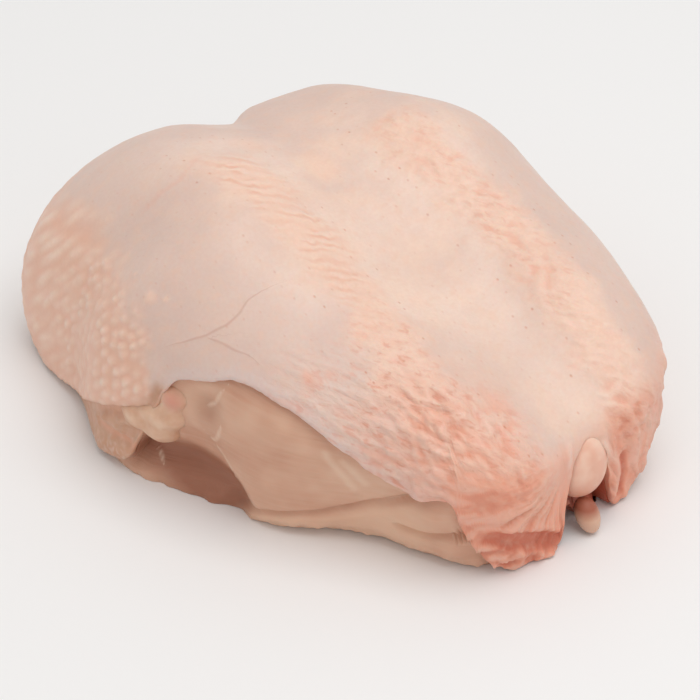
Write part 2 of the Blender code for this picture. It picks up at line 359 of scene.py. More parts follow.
# %% Where the skin ends
SKIN_THICKNESS = 2.2
DEEPEST_HOLLOW = -1.4
skin_edge_line = around([
    (-176, 0.87), (-168, 0.78), (-158, 0.77), (-149, 0.83), (-139, 0.97), (-129, 1.08), (-124, 1.09),
    (-121.4, 1.06), (-119.6, 1.08), (-118.5, 1.22), (-116.7, 1.37), (-114.6, 1.51), (-112.1, 1.74),
    (-109, 1.88), (-105, 1.93), (-99, 1.93), (-97, 1.86), (-95.6, 1.6),
    (-94.2, 1.38), (-93.2, 1.17), (-91.4, 1.03), (-88.4, 0.965), (-86, 1.05), (-84.2, 1.17), (-83.3, 1.33),
    (-82.3, 1.6), (-80.8, 1.86), (-78, 1.86), (-74, 1.72), (-70, 1.74), (-60, 1.5), (-45, 1.05), (-25, 0.86),
    (-5, 0.82),
    (8, 0.9), (20, 1.15), (32, 1.6), (45, 1.7), (62, 1.5), (76, 1.2), (92, 1.2), (106, 1.5), (122, 1.7),
    (140, 1.74), (152, 1.76), (158, 1.74), (163, 1.68), (165.5, 1.56), (167.5, 1.36), (169.5, 1.22),
    (172, 1.06), (176, 0.94)])
SKIN_EDGE_LOWEST = 1.94


def skin_edge(degrees):
    """The drop at the skin's cut edge, a little ragged, most of all at the hems that reach the floor."""
    edge = np.minimum(skin_edge_line(degrees), SKIN_EDGE_LOWEST)
    ring = np.stack([np.cos(np.radians(degrees)), np.sin(np.radians(degrees)), 0 * degrees], axis=-1) * 90
    hem = ease(edge, 1.2, 1.6)
    nibbles = 0.5 + 0.5 * soft_noise(ring, 6, 3) + 0.35 * soft_noise(ring, 2.2, 4)
    return edge - (0.012 + 0.05 * hem) * np.clip(nibbles, 0, 1.2)


# %% Tables of even steps down the skin
EDGE_ROUND = SKIN_THICKNESS / 2
WAYS = np.linspace(-180, 180, 1441)
STEPS = np.linspace(0, 1, 161)
CALM_WAYS = 49


def even_steps():
    """For each way down from the crown: drop and length at nearly even steps. Jags of the cut edge
    move only the lower half of the steps, so that the rings above stay smooth."""
    drops = STEPS * skin_edge(WAYS)[:, None]
    points = outer_form(np.repeat(WAYS, len(STEPS)), drops.ravel()).reshape(*drops.shape, 3)
    lengths = np.cumsum(np.linalg.norm(np.diff(points, axis=1, prepend=points[:, :1]), axis=2), axis=1)
    total = lengths[:, -1] - EDGE_ROUND
    calm = np.convolve(np.tile(total, 3), np.ones(CALM_WAYS) / CALM_WAYS, "same")[len(total):2 * len(total)]
    even = STEPS * calm[:, None] + ease(STEPS, 0.5, 1) * (total - calm)[:, None]
    rows = [np.interp(wanted, length, drop) for wanted, length, drop in zip(even, lengths, drops)]
    return np.array(rows), even


def look_up(table, degrees, share):
    """Reads a table by angle and by share of the way down, smoothly between its entries."""
    row = (degrees + 180) / 360 * (table.shape[0] - 1)
    column = share * (table.shape[1] - 1)
    top = np.clip(row.astype(int), 0, table.shape[0] - 2)
    left = np.clip(column.astype(int), 0, table.shape[1] - 2)
    row = row - top
    column = column - left
    upper = table[top, left] * (1 - column) + table[top, left + 1] * column
    lower = table[top + 1, left] * (1 - column) + table[top + 1, left + 1] * column
    return upper * (1 - row) + lower * row


drop_table, length_table = even_steps()
print("skin from crown to edge:", round(length_table[:, -1].min()), "to",
      round(length_table[:, -1].max()), "mm")

# %% From the square's points to places on the breast
CROWDED = [(-98, 40, 0.9), (150, 45, 0.35)]


def round_the_square(flat):
    """Turn and reach, from 0 to 1, of a square's points, so that its nested squares become rings."""
    x, y = flat[:, 0], flat[:, 1]
    sideways = np.abs(x) >= np.abs(y)
    long_side = np.where(sideways, x, y)
    lean = np.where(sideways, y, x) / np.where(long_side == 0, 1, long_side)
    east = lean * math.pi / 4 + np.where(x < 0, math.pi, 0)
    north = np.sign(y) * math.pi / 2 - lean * math.pi / 4
    angle = np.where(sideways, east, north)
    return np.mod(angle / (2 * math.pi) + 0.5, 1), np.abs(long_side)


def spread_angles(turns):
    """Angles for turns from 0 to 1, closer together where the skin has most relief."""
    degrees = np.linspace(-180, 180, 1441)
    density = np.ones(len(degrees))
    for middle, reach, extra in CROWDED:
        density += extra * bump(turn_between(degrees, middle) / reach)
    steps = np.concatenate([[0], np.cumsum((density[1:] + density[:-1]) / 2)])
    return np.interp(turns, steps / steps[-1], degrees)


# %% Add the grid and find each point's place
SKIN_DIVISIONS = 288
EDGE_RINGS = 9

deselect_all()
bpy.ops.mesh.primitive_grid_add(x_subdivisions=SKIN_DIVISIONS, y_subdivisions=SKIN_DIVISIONS, size=2)
skin = bpy.context.object
skin.name = "skin_sheet"
turns, reach = round_the_square(get_points(skin))
degrees = spread_angles(turns)
ring = np.round(reach * SKIN_DIVISIONS / 2)
last_ring = SKIN_DIVISIONS // 2 - EDGE_RINGS
down = np.minimum(ring / last_ring, 1)
drop = look_up(drop_table, degrees, down)
length = look_up(length_table, degrees, down)
from_edge = look_up(length_table, degrees, np.ones(len(down))) - length
base = outer_form(degrees, drop)
normal = outward(degrees, drop)
lay_u = length * np.cos(np.radians(degrees))
lay_v = length * np.sin(np.radians(degrees))
print("skin points:", len(base))

# %% [markdown]
# ### Relief of the skin
#
# Each feature is a height in millimetres along the skin's own normal, with a number that says where it
# is, which the material reads later. The feather tracts run from the neck to the tail over both lobes.

# %% Feather tracts
NEAR_TRACT = [(113, 0.28), (122, 0.22), (135, 0.21), (154, 0.18), (170, 0.18), (193, 0.2), (212, 0.24),
              (224, 0.32), (230, 0.4), (235, 0.51), (240, 0.61), (244, 0.72), (249, 0.88), (255, 1.02)]
FAR_TRACT = [(49, 0.28), (42, 0.24), (18, 0.19), (-12, 0.24), (-31, 0.3), (-49, 0.35), (-61, 0.38),
             (-68, 0.45), (-73, 0.55), (-76, 0.67), (-79, 0.81), (-79.6, 1.06)]

near_away, near_share = beside(base, NEAR_TRACT)
far_away, far_share = beside(base, FAR_TRACT)
uneven = 4.0 * soft_noise(base, 11, 11) + 2.0 * soft_noise(base, 4, 12)
near_tract = ease(np.abs(near_away) + uneven, 13, 4) * ease(near_share, 0, 0.08)
far_tract = ease(np.abs(far_away) + uneven, 13, 3) * ease(far_share, 0, 0.08)
tract = np.maximum(near_tract, far_tract)
print("points in the tracts:", int((tract > 0.5).sum()))

# %% Wrinkles of the tracts
# Short ripples lie across the near tract, and grow knobbly towards the tail. The finest are in the material.
ACROSS_RIPPLES = (0.5, 0.34, 0.79)
ACROSS_CREASES = (0.68, 0.11, 0.72)
bent = base + 1.6 * np.stack([soft_noise(base, 9, 36), soft_noise(base, 9, 37), soft_noise(base, 9, 38)], axis=-1)
tailward = ease(base[:, 1] + 6 * soft_noise(base, 12, 28), 0, -42)
ripples = drawn_noise(bent, ACROSS_RIPPLES, 2.4, 12, 21)
near_creases = drawn_noise(bent, ACROSS_CREASES, 1.9, 6, 22) + 0.4 * soft_noise(base, 2.6, 26)
wrinkle_waves = ripples * (1 - tailward) + near_creases * tailward
patches = ease(soft_noise(base, 12, 23), -0.35, 0.3)
near_wrinkles = near_tract * (0.55 + 0.45 * patches)
far_waves = drawn_noise(bent, ACROSS_RIPPLES, 2.2, 4.5, 24) + 0.5 * soft_noise(base, 2.8, 25)
relief = 0.3 * near_tract + 0.35 * far_tract
relief += 0.42 * near_wrinkles * wrinkle_waves + 0.65 * far_tract * far_waves
# Pinker colour in the troughs of the tract wrinkles is painted shade in the creases; a little even pink lies over the
# tracts.
wrinkle_blush = near_wrinkles * (0.02 + 0.26 * tailward * ease(wrinkle_waves, 0.0, -0.4))
wrinkle_blush += far_tract * (0.02 + 0.42 * ease(far_waves, 0.0, -0.55)) * ease(soft_noise(base, 15, 27), -0.5, 0.3)

# %% Soft swell of the lobes
relief += 0.5 * soft_noise(base, 26, 1) + 0.2 * soft_noise(base, 11, 2) + 0.06 * soft_noise(base, 4.5, 5)

# %% Long creases between the near tract and the cut edge
tail_side = ease(base[:, 1], -14, -40) * ease(base[:, 0], -2, -14)
edge_creases = drawn_noise(bent, ACROSS_CREASES, 1.7, 14, 31)
crease_zone = tail_side * ease(drop, 0.35, 0.6) * ease(degrees, -108, -118) * (1 - 0.6 * ease(drop, 1.04, 1.1))
relief += crease_zone * (0.35 * edge_creases - 0.15 * creases(edge_creases, 0.12))

# %% Crumpled skin towards the tail
flap_start = degrees + 3 * soft_noise(base, 7, 40)
near_flap = ease(flap_start, -130, -117) * ease(degrees, -92.4, -94) * ease(drop, 0.78, 0.98)
crumple = ease(base[:, 1] + 5 * soft_noise(base, 12, 32), -38, -66) * ease(drop, 0.36, 0.66)
crumple = crumple * ease(degrees, -97, -107) * ease(np.abs(turn_between(degrees, -118)), 36, 16)
crumple = crumple * (1 - 0.75 * near_flap)
coarse_folds = drawn_noise(bent, ACROSS_CREASES, 2.6, 6, 33)
small_folds = drawn_noise(bent, (0.85, -0.2, 0.45), 1.6, 3.2, 34)
folds = coarse_folds + 0.6 * small_folds
relief += crumple * (1.1 * folds - 0.4 * creases(coarse_folds, 0.2) + 0.5 * soft_noise(base, 8, 39))

# %% [markdown]
# ### The tail flaps
#
# At the tail the skin hangs to the floor on both sides of the keel's tip. On the near flap it is drawn
# into folds that fan out from the tip, and one deep fold runs across above the hem.

# %% Folds that fan out over the near flap
fan_middle = outer_form(np.array([-94.0]), np.array([0.93]))[0]
fan_out = np.hypot(base[:, 0] - fan_middle[0], base[:, 1] - fan_middle[1])
fan_down = fan_middle[2] - base[:, 2]
fan_reach = np.hypot(fan_out, fan_down)
fan_angle = np.arctan2(fan_down, fan_out) + 0.09 * soft_noise(base, 9, 41)
fan_places = np.stack([fan_angle * 15, fan_reach / 15, 0 * fan_reach], axis=-1)
fan_wide = ease(fan_reach, 16, 36)
fan_waves = soft_noise(fan_places, 1, 42) + 0.25 * fan_wide * soft_noise(fan_places, 0.6, 43)
fan = near_flap * ease(fan_reach, 4, 22) * ease(degrees, -94.5, -99.5)
relief += fan * (1.3 * fan_waves - 0.4 * fan_wide * creases(fan_waves, 0.3))

# %% The deep fold and the hem below it
FOLD_LINE = [(-116.5, 1.27), (-111.5, 1.31), (-107.3, 1.39), (-101.8, 1.52), (-97, 1.68)]
fold_away, fold_share = beside(base, FOLD_LINE)
fold_away = fold_away + 0.9 * soft_noise(base, 5, 45)
fold_drop = np.interp(degrees, *np.array(FOLD_LINE).T)
deep_fold = near_flap * ease(np.abs(fold_away), 4.2, 1.2) * ease(fold_share, 0, 0.25)
lips = near_flap * bump(fold_away / 8) * ease(fold_share, 0, 0.25)
below_fold = near_flap * ease(drop - fold_drop, 0.02, 0.12)
hem_folds = soft_noise(bent, 4.2, 46) + 0.5 * drawn_noise(bent, (0.2, 0.1, 1), 1.8, 6, 48)
relief += 2.0 * lips - 3.3 * deep_fold + below_fold * (0.6 + 1.5 * hem_folds)

# %% Rounded lobes of skin where the near flap begins
curl = spot(base, -125.5, 1.03, 5.5) + spot(base, -119.3, 1.05, 4.5)
relief += 1.2 * curl - 1.1 * spot(base, -122, 1.05, 3.2)

# %% Curtain folds of the far flap, and its curled lip beside the keel tip
far_flap = ease(degrees, -84.5, -82.5) * ease(degrees, -56, -66) * ease(drop, 0.72, 1.05)
curtain = drawn_noise(bent, (1, 0.3, 0.25), 3.0, 14, 51)
relief += far_flap * (1.0 * curtain - 0.5 * creases(curtain, 0.14) + 0.35 * soft_noise(base, 3, 52))
curled_lip = bump(beside(base, [(-85.2, 1.05), (-83.3, 1.16), (-81.4, 1.26), (-80.6, 1.4), (-81.4, 1.6)])[0] / 2.5)
curl_inside = bump(beside(base, [(-79.6, 1.26), (-79.1, 1.42), (-79.6, 1.62)])[0] / 2.4)
wet_ridge = bump(beside(base, [(-93.3, 0.84), (-94.6, 0.95), (-94.5, 1.06), (-94.2, 1.2)])[0] / 2.5)
relief += 0.9 * curled_lip - 1.3 * curl_inside + 0.45 * wet_ridge

# %% [markdown]
# ### The shoulders
#
# Where the neck feathers began, the skin is thick and set with goose bumps, flat ones in slanting rows
# above and round ones below. Under a crease the neck's skin turns in and hangs down to the floor.

# %% Where the pebbled skin begins
pebble_start = around([(88, 1.1), (100, 0.8), (118, 0.67), (127, 0.56), (138, 0.6), (148, 0.61),
                       (158, 0.65), (165, 0.72), (169, 0.8), (172, 0.92), (178, 1.3), (270, 1.4)])
right_shoulder = ease(drop - pebble_start(degrees) + 0.05 * soft_noise(base, 6, 61), -0.05, 0.11)
left_shoulder = ease(drop - pebble_start(180 - degrees) + 0.05 * soft_noise(base, 6, 62), 0, 0.16)
left_shoulder = left_shoulder * ease(np.abs(turn_between(degrees, 48)), 56, 46)
right_shoulder = right_shoulder * ease(np.abs(turn_between(degrees, 132)), 54, 44)
shoulder = np.maximum(right_shoulder, left_shoulder)

# %% Goose bumps
mirror_x = np.where(base[:, 0] > 0, -1, 1)
mirror = np.stack([mirror_x, np.ones(len(base)), np.ones(len(base))], axis=-1)
same_side = base * mirror
side_degrees = np.where(base[:, 0] > 0, 180 - degrees, degrees)
rows_apart = same_side @ np.array([-0.02, 0.72, 0.69]) + 1.1 * soft_noise(same_side, 14, 63)
rows_along = same_side @ np.array([0.84, -0.37, 0.4]) + 0.8 * soft_noise(same_side, 9, 65)
flat_away = cells(rows_along / 3, rows_apart, 3.8, 0.6, 10)[0]
flat_bumps = bump(flat_away * 1.3) * (0.4 + 0.6 * ease(soft_noise(same_side, 9, 64), -0.6, 0.2))
pebble_away = cells(rows_along / 1.1, rows_apart, 3.2, 0.6, 9)[0]
pebbled = ease(side_degrees + 5 * soft_noise(base, 8, 66), 129, 140) * ease(drop, 0.6, 0.7)
goose = (1 - pebbled) * flat_bumps + pebbled * bump(pebble_away * 1.5) * (0.85 + 0.6 * soft_noise(same_side, 5, 67))
back_along = same_side @ np.array([0.83, 0.55, 0.0]) + 1.1 * soft_noise(same_side, 14, 68)
back_apart = same_side @ np.array([-0.24, 0.36, 0.9]) + 0.8 * soft_noise(same_side, 9, 69)
back_bumps = bump(cells(back_along / 1.3, back_apart, 4, 0.6, 12)[0] * 1.4)
to_front = ease((normal * mirror) @ np.array([-0.54, -0.59, 0.6]), 0.2, 0.5)
goose = to_front * goose + (1 - to_front) * back_bumps * (0.6 + 0.3 * soft_noise(same_side, 9, 64))
relief += shoulder * (0.55 + 0.45 * pebbled) * goose

# %% The neck's skin, turned in under a crease
NECK_CREASE = [(126, 1.72), (133, 1.5), (138.1, 1.35), (145, 1.12), (154.3, 0.99), (163.6, 0.985),
               (168.9, 0.975), (171.2, 0.95), (173, 0.9)]
crease_drop = np.interp(degrees, *np.array(NECK_CREASE).T)
neck_side = ease(degrees, 127, 133) * ease(degrees, 178, 172)
crease_away, crease_share = beside(base, NECK_CREASE)
under_crease = neck_side * ease(drop - crease_drop, 0, 0.07)
neck_folds = drawn_noise(bent, (-0.3, 0.6, 0.75), 3.2, 14, 71)
recess = bump(beside(base, [(156, 1.06), (161, 1.05), (166, 1.05)])[0] / 4.5)
fold_ridge = bump(beside(base, [(160, 1.17), (164, 1.13), (167.1, 1.11), (170.1, 1.1), (173, 1.1)])[0] / 3.6)
groove = bump(beside(base, [(157, 1.26), (160, 1.3), (163.5, 1.33), (167.1, 1.37)])[0] / 2.6)
floor_pad = bump(beside(base, [(155, 1.66), (159.5, 1.56), (164.5, 1.5)])[0] / 6)
relief += neck_side * (1.0 * bump(crease_away / 7) * (1 - under_crease) - 1.3 * under_crease)
relief += under_crease * (-1.4 * recess + 1.0 * fold_ridge - 1.2 * groove + 1.3 * floor_pad + 0.45 * neck_folds)
shoulder = shoulder * (1 - under_crease)

# %% [markdown]
# ### Small things
#
# A few veins show through, a crease runs over the near lobe, and there are some pimples.

# %% Veins, crease and pimples
VEINS = [[(172, 0.8), (176, 0.75), (180, 0.69), (183, 0.61), (184.3, 0.54), (184.1, 0.49), (185, 0.44),
          (188, 0.38), (191, 0.34)],
         [(180, 0.69), (186, 0.67), (192, 0.65), (199, 0.65)]]
wander = 0.6 * soft_noise(base, 6, 81)
vein_away = np.full(len(base), 9.0)
for places in VEINS:
    away, share = beside(base, places)
    away = (away + 1.2 * wander) / np.maximum(ease(share, 1, 0.4) * ease(share, 0, 0.2), 0.05)
    vein_away = np.where(np.abs(away) < np.abs(vein_away), away, vein_away)
lobe_crease, crease_passed = beside(base, [(136, 0.52), (134, 0.45), (131, 0.36), (126, 0.31), (117, 0.28)])
lobe_crease = bump((lobe_crease + 1.5 * wander) / 1.5) * ease(crease_passed, 0, 0.2) * ease(crease_passed, 1, 0.8)
relief += 0.12 * bump(vein_away / 1.1) - 0.22 * lobe_crease
pimples = 0
for place_degrees, place_drop, radius, height in [(163.5, 0.64, 3.4, 0.5), (167, 0.62, 1.6, 0.3),
                                                  (-73, 0.57, 2.0, 0.25), (155, 0.6, 1.3, 0.2)]:
    pimple = spot(base, place_degrees, place_drop, radius)
    relief += height * pimple
    pimples = pimples + pimple
relief = np.maximum(relief, DEEPEST_HOLLOW * ease(from_edge, -2, 5))
print("relief from", relief.min().round(2), "to", relief.max().round(2), "mm")

# %% Round the cut edge over and under
off_crown = np.maximum(drop, 0.02)
along_edge = unit(outer_form(degrees + 0.5, off_crown) - outer_form(degrees - 0.5, off_crown))
down_skin = unit(np.cross(along_edge, normal))
over = np.maximum(ring - last_ring, 0)
half_turn = np.clip(over / (EDGE_RINGS - 3), 0, 1) * math.pi
tuck = np.maximum(over - (EDGE_RINGS - 3), 0)
surface = base + normal * (relief + EDGE_ROUND * (np.cos(half_turn) - 1) - 0.6 * tuck)[:, None]
surface += down_skin * (EDGE_ROUND * np.sin(half_turn) - 0.9 * tuck)[:, None]
surface[:, 2] = np.maximum(surface[:, 2], 0.3)
set_points(skin, surface)
slanting = (np.abs(turn_between(degrees, -116.5)) < 5) & (drop > 0.85) & (from_edge > 1.2)
select_only(skin)
bpy.ops.object.mode_set(mode="EDIT")
bpy.ops.mesh.select_mode(type="VERT")
bpy.ops.mesh.select_all(action="DESELECT")
bpy.ops.object.mode_set(mode="OBJECT")
skin.data.vertices.foreach_set("select", slanting)
bpy.ops.object.mode_set(mode="EDIT")
bpy.ops.mesh.vertices_smooth(factor=0.5, repeat=3)
bpy.ops.object.mode_set(mode="OBJECT")
print("points smoothed where the grid runs aslant:", slanting.sum())
print("skin stands from", surface[:, 2].min().round(2), "to", surface[:, 2].max().round(2), "mm high")

# %% Numbers for the skin's material
# This number holds the skin's own pink on the flaps and at the slit, and painted shade: it grows in the troughs of
# folds, creases and curtains, in the deep fold, inside the curled lip, between the goose bumps, and in the neck's
# groove and recess.
blush = wrinkle_blush + crumple * (0.3 + 0.45 * ease(folds, 0.1, -0.6)) + crease_zone * 0.2 * ease(edge_creases, 0, -0.5)
blush += near_flap * (0.36 + 0.2 * ease(drop, 0.9, 1.5)) + fan * (0.4 * ease(fan_waves, 0.1, -0.35))
slit_skin = ease(np.abs(turn_between(degrees, -88.5)), 14, 7) * ease(drop, 0.8, 0.95)
blush += 0.35 * slit_skin + 0.15 * fan
blush += 1.3 * deep_fold + below_fold * (-0.15 + 0.5 * ease(hem_folds, 0.2, -0.3))
blush += far_flap * (0.5 + 0.2 * ease(drop, 1.2, 1.6) + 0.3 * ease(curtain, 0.1, -0.5)) + 0.8 * curl_inside
blush += 0.2 * lobe_crease + 0.26 * shoulder * (1 - goose)
blush += under_crease * (0.35 * groove + 0.15 * recess + 0.12 * ease(neck_folds, 0.1, -0.5))
blush += (0.3 + 0.4 * soft_noise(base, 2.5, 124)) * (
    spot(base, 208.1, 0.61, 2.5) + spot(base, 210.1, 0.63, 4.5) + spot(base, 214, 0.585, 2.5))
# Moist spots: they lower the roughness, and they also get a painted highlight, lighter colour on the wet ridge, the
# curled lip, the floor pad's specks and glints on the crumple. The pink is paled on the ridge and lip as a painted
# highlight too.
wet = (wet_ridge * ease(soft_noise(base, 4, 123), -0.3, 0.4) + 0.4 * curled_lip
       + under_crease * floor_pad * ease(soft_noise(base, 1.3, 121), 0.1, 0.4)
       + crumple * ease(soft_noise(base, 2.0, 122), 0.4, 0.6) * ease(coarse_folds, 0, 0.3))
blush *= 1 - 0.25 * np.clip(wet_ridge + curled_lip, 0, 1)
peach = spot(base, 84.3, 0.23, 9) + spot(base, 88.5, 0.17, 8) + 0.8 * spot(base, 100, 0.3, 10) + pimples
thin = ease(drop, 0.25, 0.5) * (1 - tract) * (1 - crumple) * (1 - near_flap) * (1 - far_flap)
thin = thin * (1 - spot(base, -92, 0.72, 42)) * (1 - slit_skin)
rippled = near_wrinkles * (1 - tailward) * (1 - shoulder)
fine_wrinkles = (0.9 * near_wrinkles * tailward + 0.55 * far_tract * (0.4 + 0.6 * patches)
                 + 0.7 * crumple + 0.7 * crease_zone + 0.25 * fan + 0.6 * far_flap)
tract_near = np.minimum(np.abs(near_away), np.abs(far_away))
pores = ease(tract_near, 5, 10) * (0.3 + 0.6 * ease(tract_near, 22, 12)) * (1 - shoulder) * ease(drop, 1.0, 0.8)
pores = np.maximum(pores, 0.6 * near_tract * tailward)
keep(skin, tract=np.clip(tract + peach, 0, 1), thin=thin, pores=pores, blush=np.clip(blush, 0, 1.6), shoulder=shoulder,
     goose=goose * shoulder, neck=under_crease, vein=vein_away, wet=np.clip(wet, 0, 1), tailward=tailward, fan=fan,
     rim=ease(from_edge, 6, 0.5) * (1 - near_flap) * (1 - far_flap) * (1 - under_crease) * (1 - slit_skin),
     rippled=rippled,
     wrinkled=np.clip(fine_wrinkles, 0, 1))
for name, columns in (("lay", (lay_u, lay_v)), ("fan_place", (fan_angle * 12, fan_reach / 14))):
    layer = skin.data.attributes.new(name, "FLOAT_VECTOR", "POINT")
    layer.data.foreach_set("vector", np.stack([*columns, 0 * lay_u], axis=-1).ravel())

# %% [markdown]
# The underside never shows, so a coarse second sheet closes it, and the two rims are bridged.

# %% Close the skin underneath
INNER_DIVISIONS = SKIN_DIVISIONS // 3
deselect_all()
bpy.ops.mesh.primitive_grid_add(x_subdivisions=INNER_DIVISIONS, y_subdivisions=INNER_DIVISIONS, size=2)
inner = bpy.context.object
inner_turns, inner_reach = round_the_square(get_points(inner))
inner_degrees = spread_angles(inner_turns)
inner_share = inner_reach * (1 - 4 / look_up(length_table, inner_degrees, np.ones(len(inner_reach))))
inner_drop = look_up(drop_table, inner_degrees, inner_share)
under = outer_form(inner_degrees, inner_drop) - outward(inner_degrees, inner_drop) * SKIN_THICKNESS
under[:, 2] = np.maximum(under[:, 2], 0.3)
set_points(inner, under)
select_only(inner)
bpy.ops.object.mode_set(mode="EDIT")
bpy.ops.mesh.select_all(action="SELECT")
bpy.ops.mesh.flip_normals()
bpy.ops.object.mode_set(mode="OBJECT")
select_only(skin, inner)
bpy.ops.object.join()
bpy.ops.object.mode_set(mode="EDIT")
bpy.ops.mesh.select_mode(type="EDGE")
bpy.ops.mesh.select_all(action="DESELECT")
bpy.ops.mesh.select_non_manifold(extend=False, use_wire=False, use_boundary=True, use_multi_face=False,
                                 use_non_contiguous=False, use_verts=False)
bpy.ops.mesh.bridge_edge_loops()
smooth_triangles(skin)
print("skin faces:", len(skin.data.polygons))

# %% [markdown]
# ## The meat
#
# Under the skin lies one body of meat on its rib cage. It shows at the flanks, where the knife left it
# smooth, with pale tendons and streaks of fat, and from below, where thin skin covers the ribs inside.
# It closes on itself like a ball, so it starts as a sphere. Its rings run under the skin, down the flank,
# over the foot and up into the hollow of the chest.

# %% How deep the meat lies inside the form
REST_GAP = 0.35
HOLLOW_DEPTH = 4.0


def flank_depth(degrees, below_edge, drop):
    """Depth of the bare meat: below_edge is 0 at the skin and 1 at the foot."""
    under_skin = SKIN_THICKNESS + REST_GAP
    bared = 1 - ease(skin_edge_line(degrees), 1.55, 1.8)
    depth = under_skin + (0.6 - under_skin) * bared * np.clip(below_edge / 0.6, 0, 1) ** 1.5
    for middle in (-178, 2):
        away = np.hypot(turn_between(degrees, middle) / 17, (drop - 1.36) / 0.3)
        depth = depth + HOLLOW_DEPTH * bump(away)
    return depth


# %% The hollow of the chest
FOOT_WIDTH = 11.0
chest_height = along([(-80, 24), (0, 36), (80, 42)])


def chest_form(degrees, climb):
    """The hollow of the chest, from the inner edge of the foot (climb 0) to its middle (climb 1)."""
    foot_radius = wide_radius(degrees) * foot_share(degrees) - FOOT_WIDTH
    radius = foot_radius * np.cos(climb * math.pi / 2) ** FULL_PLAN
    x = radius * np.cos(np.radians(degrees))
    y = radius * np.sin(np.radians(degrees))
    rim = foot_lift(degrees)
    z = rim + (chest_height(y) - rim) * np.sin(climb * math.pi / 2) ** FULL_HEIGHT
    return np.stack([x, y, z], axis=-1)


# %% Add the sphere and find each point's place
MEAT_SEGMENTS = 480
COVERED_RINGS, FLANK_RINGS, FOOT_RINGS, CHEST_RINGS = 14, 76, 4, 26

deselect_all()
bpy.ops.mesh.primitive_uv_sphere_add(
    segments=MEAT_SEGMENTS, ring_count=COVERED_RINGS + FLANK_RINGS + FOOT_RINGS + CHEST_RINGS, radius=1)
meat = bpy.context.object
meat.name = "breast_meat"
ball = get_points(meat)
ring_count = COVERED_RINGS + FLANK_RINGS + FOOT_RINGS + CHEST_RINGS
meat_ring = np.round(np.arccos(np.clip(ball[:, 2], -1, 1)) / math.pi * ring_count)
meat_degrees = np.degrees(np.arctan2(ball[:, 1], ball[:, 0]))
meat_edge = np.minimum(skin_edge_line(meat_degrees), SKIN_EDGE_LOWEST)
below = np.clip((meat_ring - COVERED_RINGS) / FLANK_RINGS, 0, 1)
covered = np.minimum(meat_ring / COVERED_RINGS, 1)
meat_drop = meat_edge * covered + (2 - meat_edge) * below
on_flank = (meat_ring > COVERED_RINGS) & (meat_ring <= COVERED_RINGS + FLANK_RINGS)
meat_base = outer_form(meat_degrees, meat_drop)
meat_normal = outward(meat_degrees, meat_drop)
print("meat points:", len(meat_base))

# %% [markdown]
# ### Relief of the flank
#
# The near flank shows a broad muscle, a deep hollow under the wing joint, a forked tendon, and a strip of
# rib meat along the foot under a crease. The far flank gets the same forms, mirrored and moved a little.

# %% Lines and patches of one flank
def mirrored(places):
    return [(180 - place_degrees, place_drop) for place_degrees, place_drop in places]


HOLLOW_LINE = [(166, 1.42), (172.7, 1.48), (177.3, 1.5), (182, 1.54), (187.9, 1.56), (190, 1.6)]
STRIP_LINE = [(190.1, 1.76), (193.4, 1.7), (199.5, 1.61), (206.6, 1.53), (213.6, 1.47), (219.3, 1.4),
              (227, 1.27), (233, 1.13)]
TENDONS = [[(190, 0.8), (187.8, 0.9), (186.4, 0.96), (184.3, 0.99), (182, 1.01)],
           [(189.7, 0.98), (188.9, 1.06), (188.1, 1.12), (186.8, 1.17), (185.2, 1.17), (183.6, 1.12)],
           [(186, 1.18), (187.2, 1.23), (188.6, 1.29), (190.4, 1.36), (191.4, 1.42)],
           [(169.3, 1.48), (170.6, 1.54), (172.4, 1.63)]]
STREAKS = [[(215, 0.98), (218.9, 1.11), (221, 1.2)], [(219, 1.0), (221.9, 1.09), (223.4, 1.14)]]
LOBE_CREASE = [(231, 1.43), (236, 1.43), (240.5, 1.38), (244, 1.34)]


def flank_relief(points, drop, degrees, side):
    """Heights and amount of fat on one flank; side turns the places for the far flank round."""
    place = mirrored if side < 0 else list
    turn = np.mod(180 - degrees if side < 0 else degrees, 360)
    hollow = bump(beside(points, place(HOLLOW_LINE))[0] / 11)
    strip_away, strip_share = beside(points, place(STRIP_LINE))
    strip_drop = np.interp(turn, [spot_place[0] for spot_place in STRIP_LINE],
                           [spot_place[1] for spot_place in STRIP_LINE])
    in_strip = ease(turn, 187, 198) * ease(turn, 240, 234)
    lobe_away, lobe_share = beside(points, place(LOBE_CREASE))
    height = -5.0 * hollow
    height += in_strip * (1.4 * ease(drop - strip_drop, 0, 0.1) - 1.7 * bump(strip_away / 1.8))
    height -= 1.6 * spot(points, *place([(184.5, 0.96)])[0], 8)
    height += 2.0 * spot(points, *place([(237, 1.22)])[0], 9.5) - 2.2 * bump(lobe_away / 2.4)
    height += 1.6 * spot(points, *place([(240.5, 1.6)])[0], 8)
    fat = np.zeros(len(points))
    for line in STREAKS:
        fat = np.maximum(fat, 0.6 * bump(beside(points, place(line))[0] / 2.2))
    tendon = np.full(len(points), 9.0)
    for line in TENDONS:
        away, share = beside(points, place(line))
        away = np.abs(away + 0.4 * soft_noise(points, 9, 98)) / np.maximum(ease(share, 1, 0.6) * ease(share, 0, 0.3), 0.25)
        tendon = np.minimum(tendon, away)
    height += 0.3 * fat + 0.35 * bump(tendon / 1.6)
    # Painted shade: in the hollow under the wing joint, just under the skin's edge, and low on the flank near the
    # floor.
    flank_painted_shade = hollow + 0.5 * spot(points, *place([(185, 1.0)])[0], 9)
    flank_painted_shade = flank_painted_shade + 0.8 * spot(points, *place([(185, 1.75)])[0], 17) + 0.5 * spot(points, *place([(176, 1.8)])[0], 14)
    return height, fat, tendon, flank_painted_shade, in_strip * ease(drop - strip_drop, 0, 0.08)


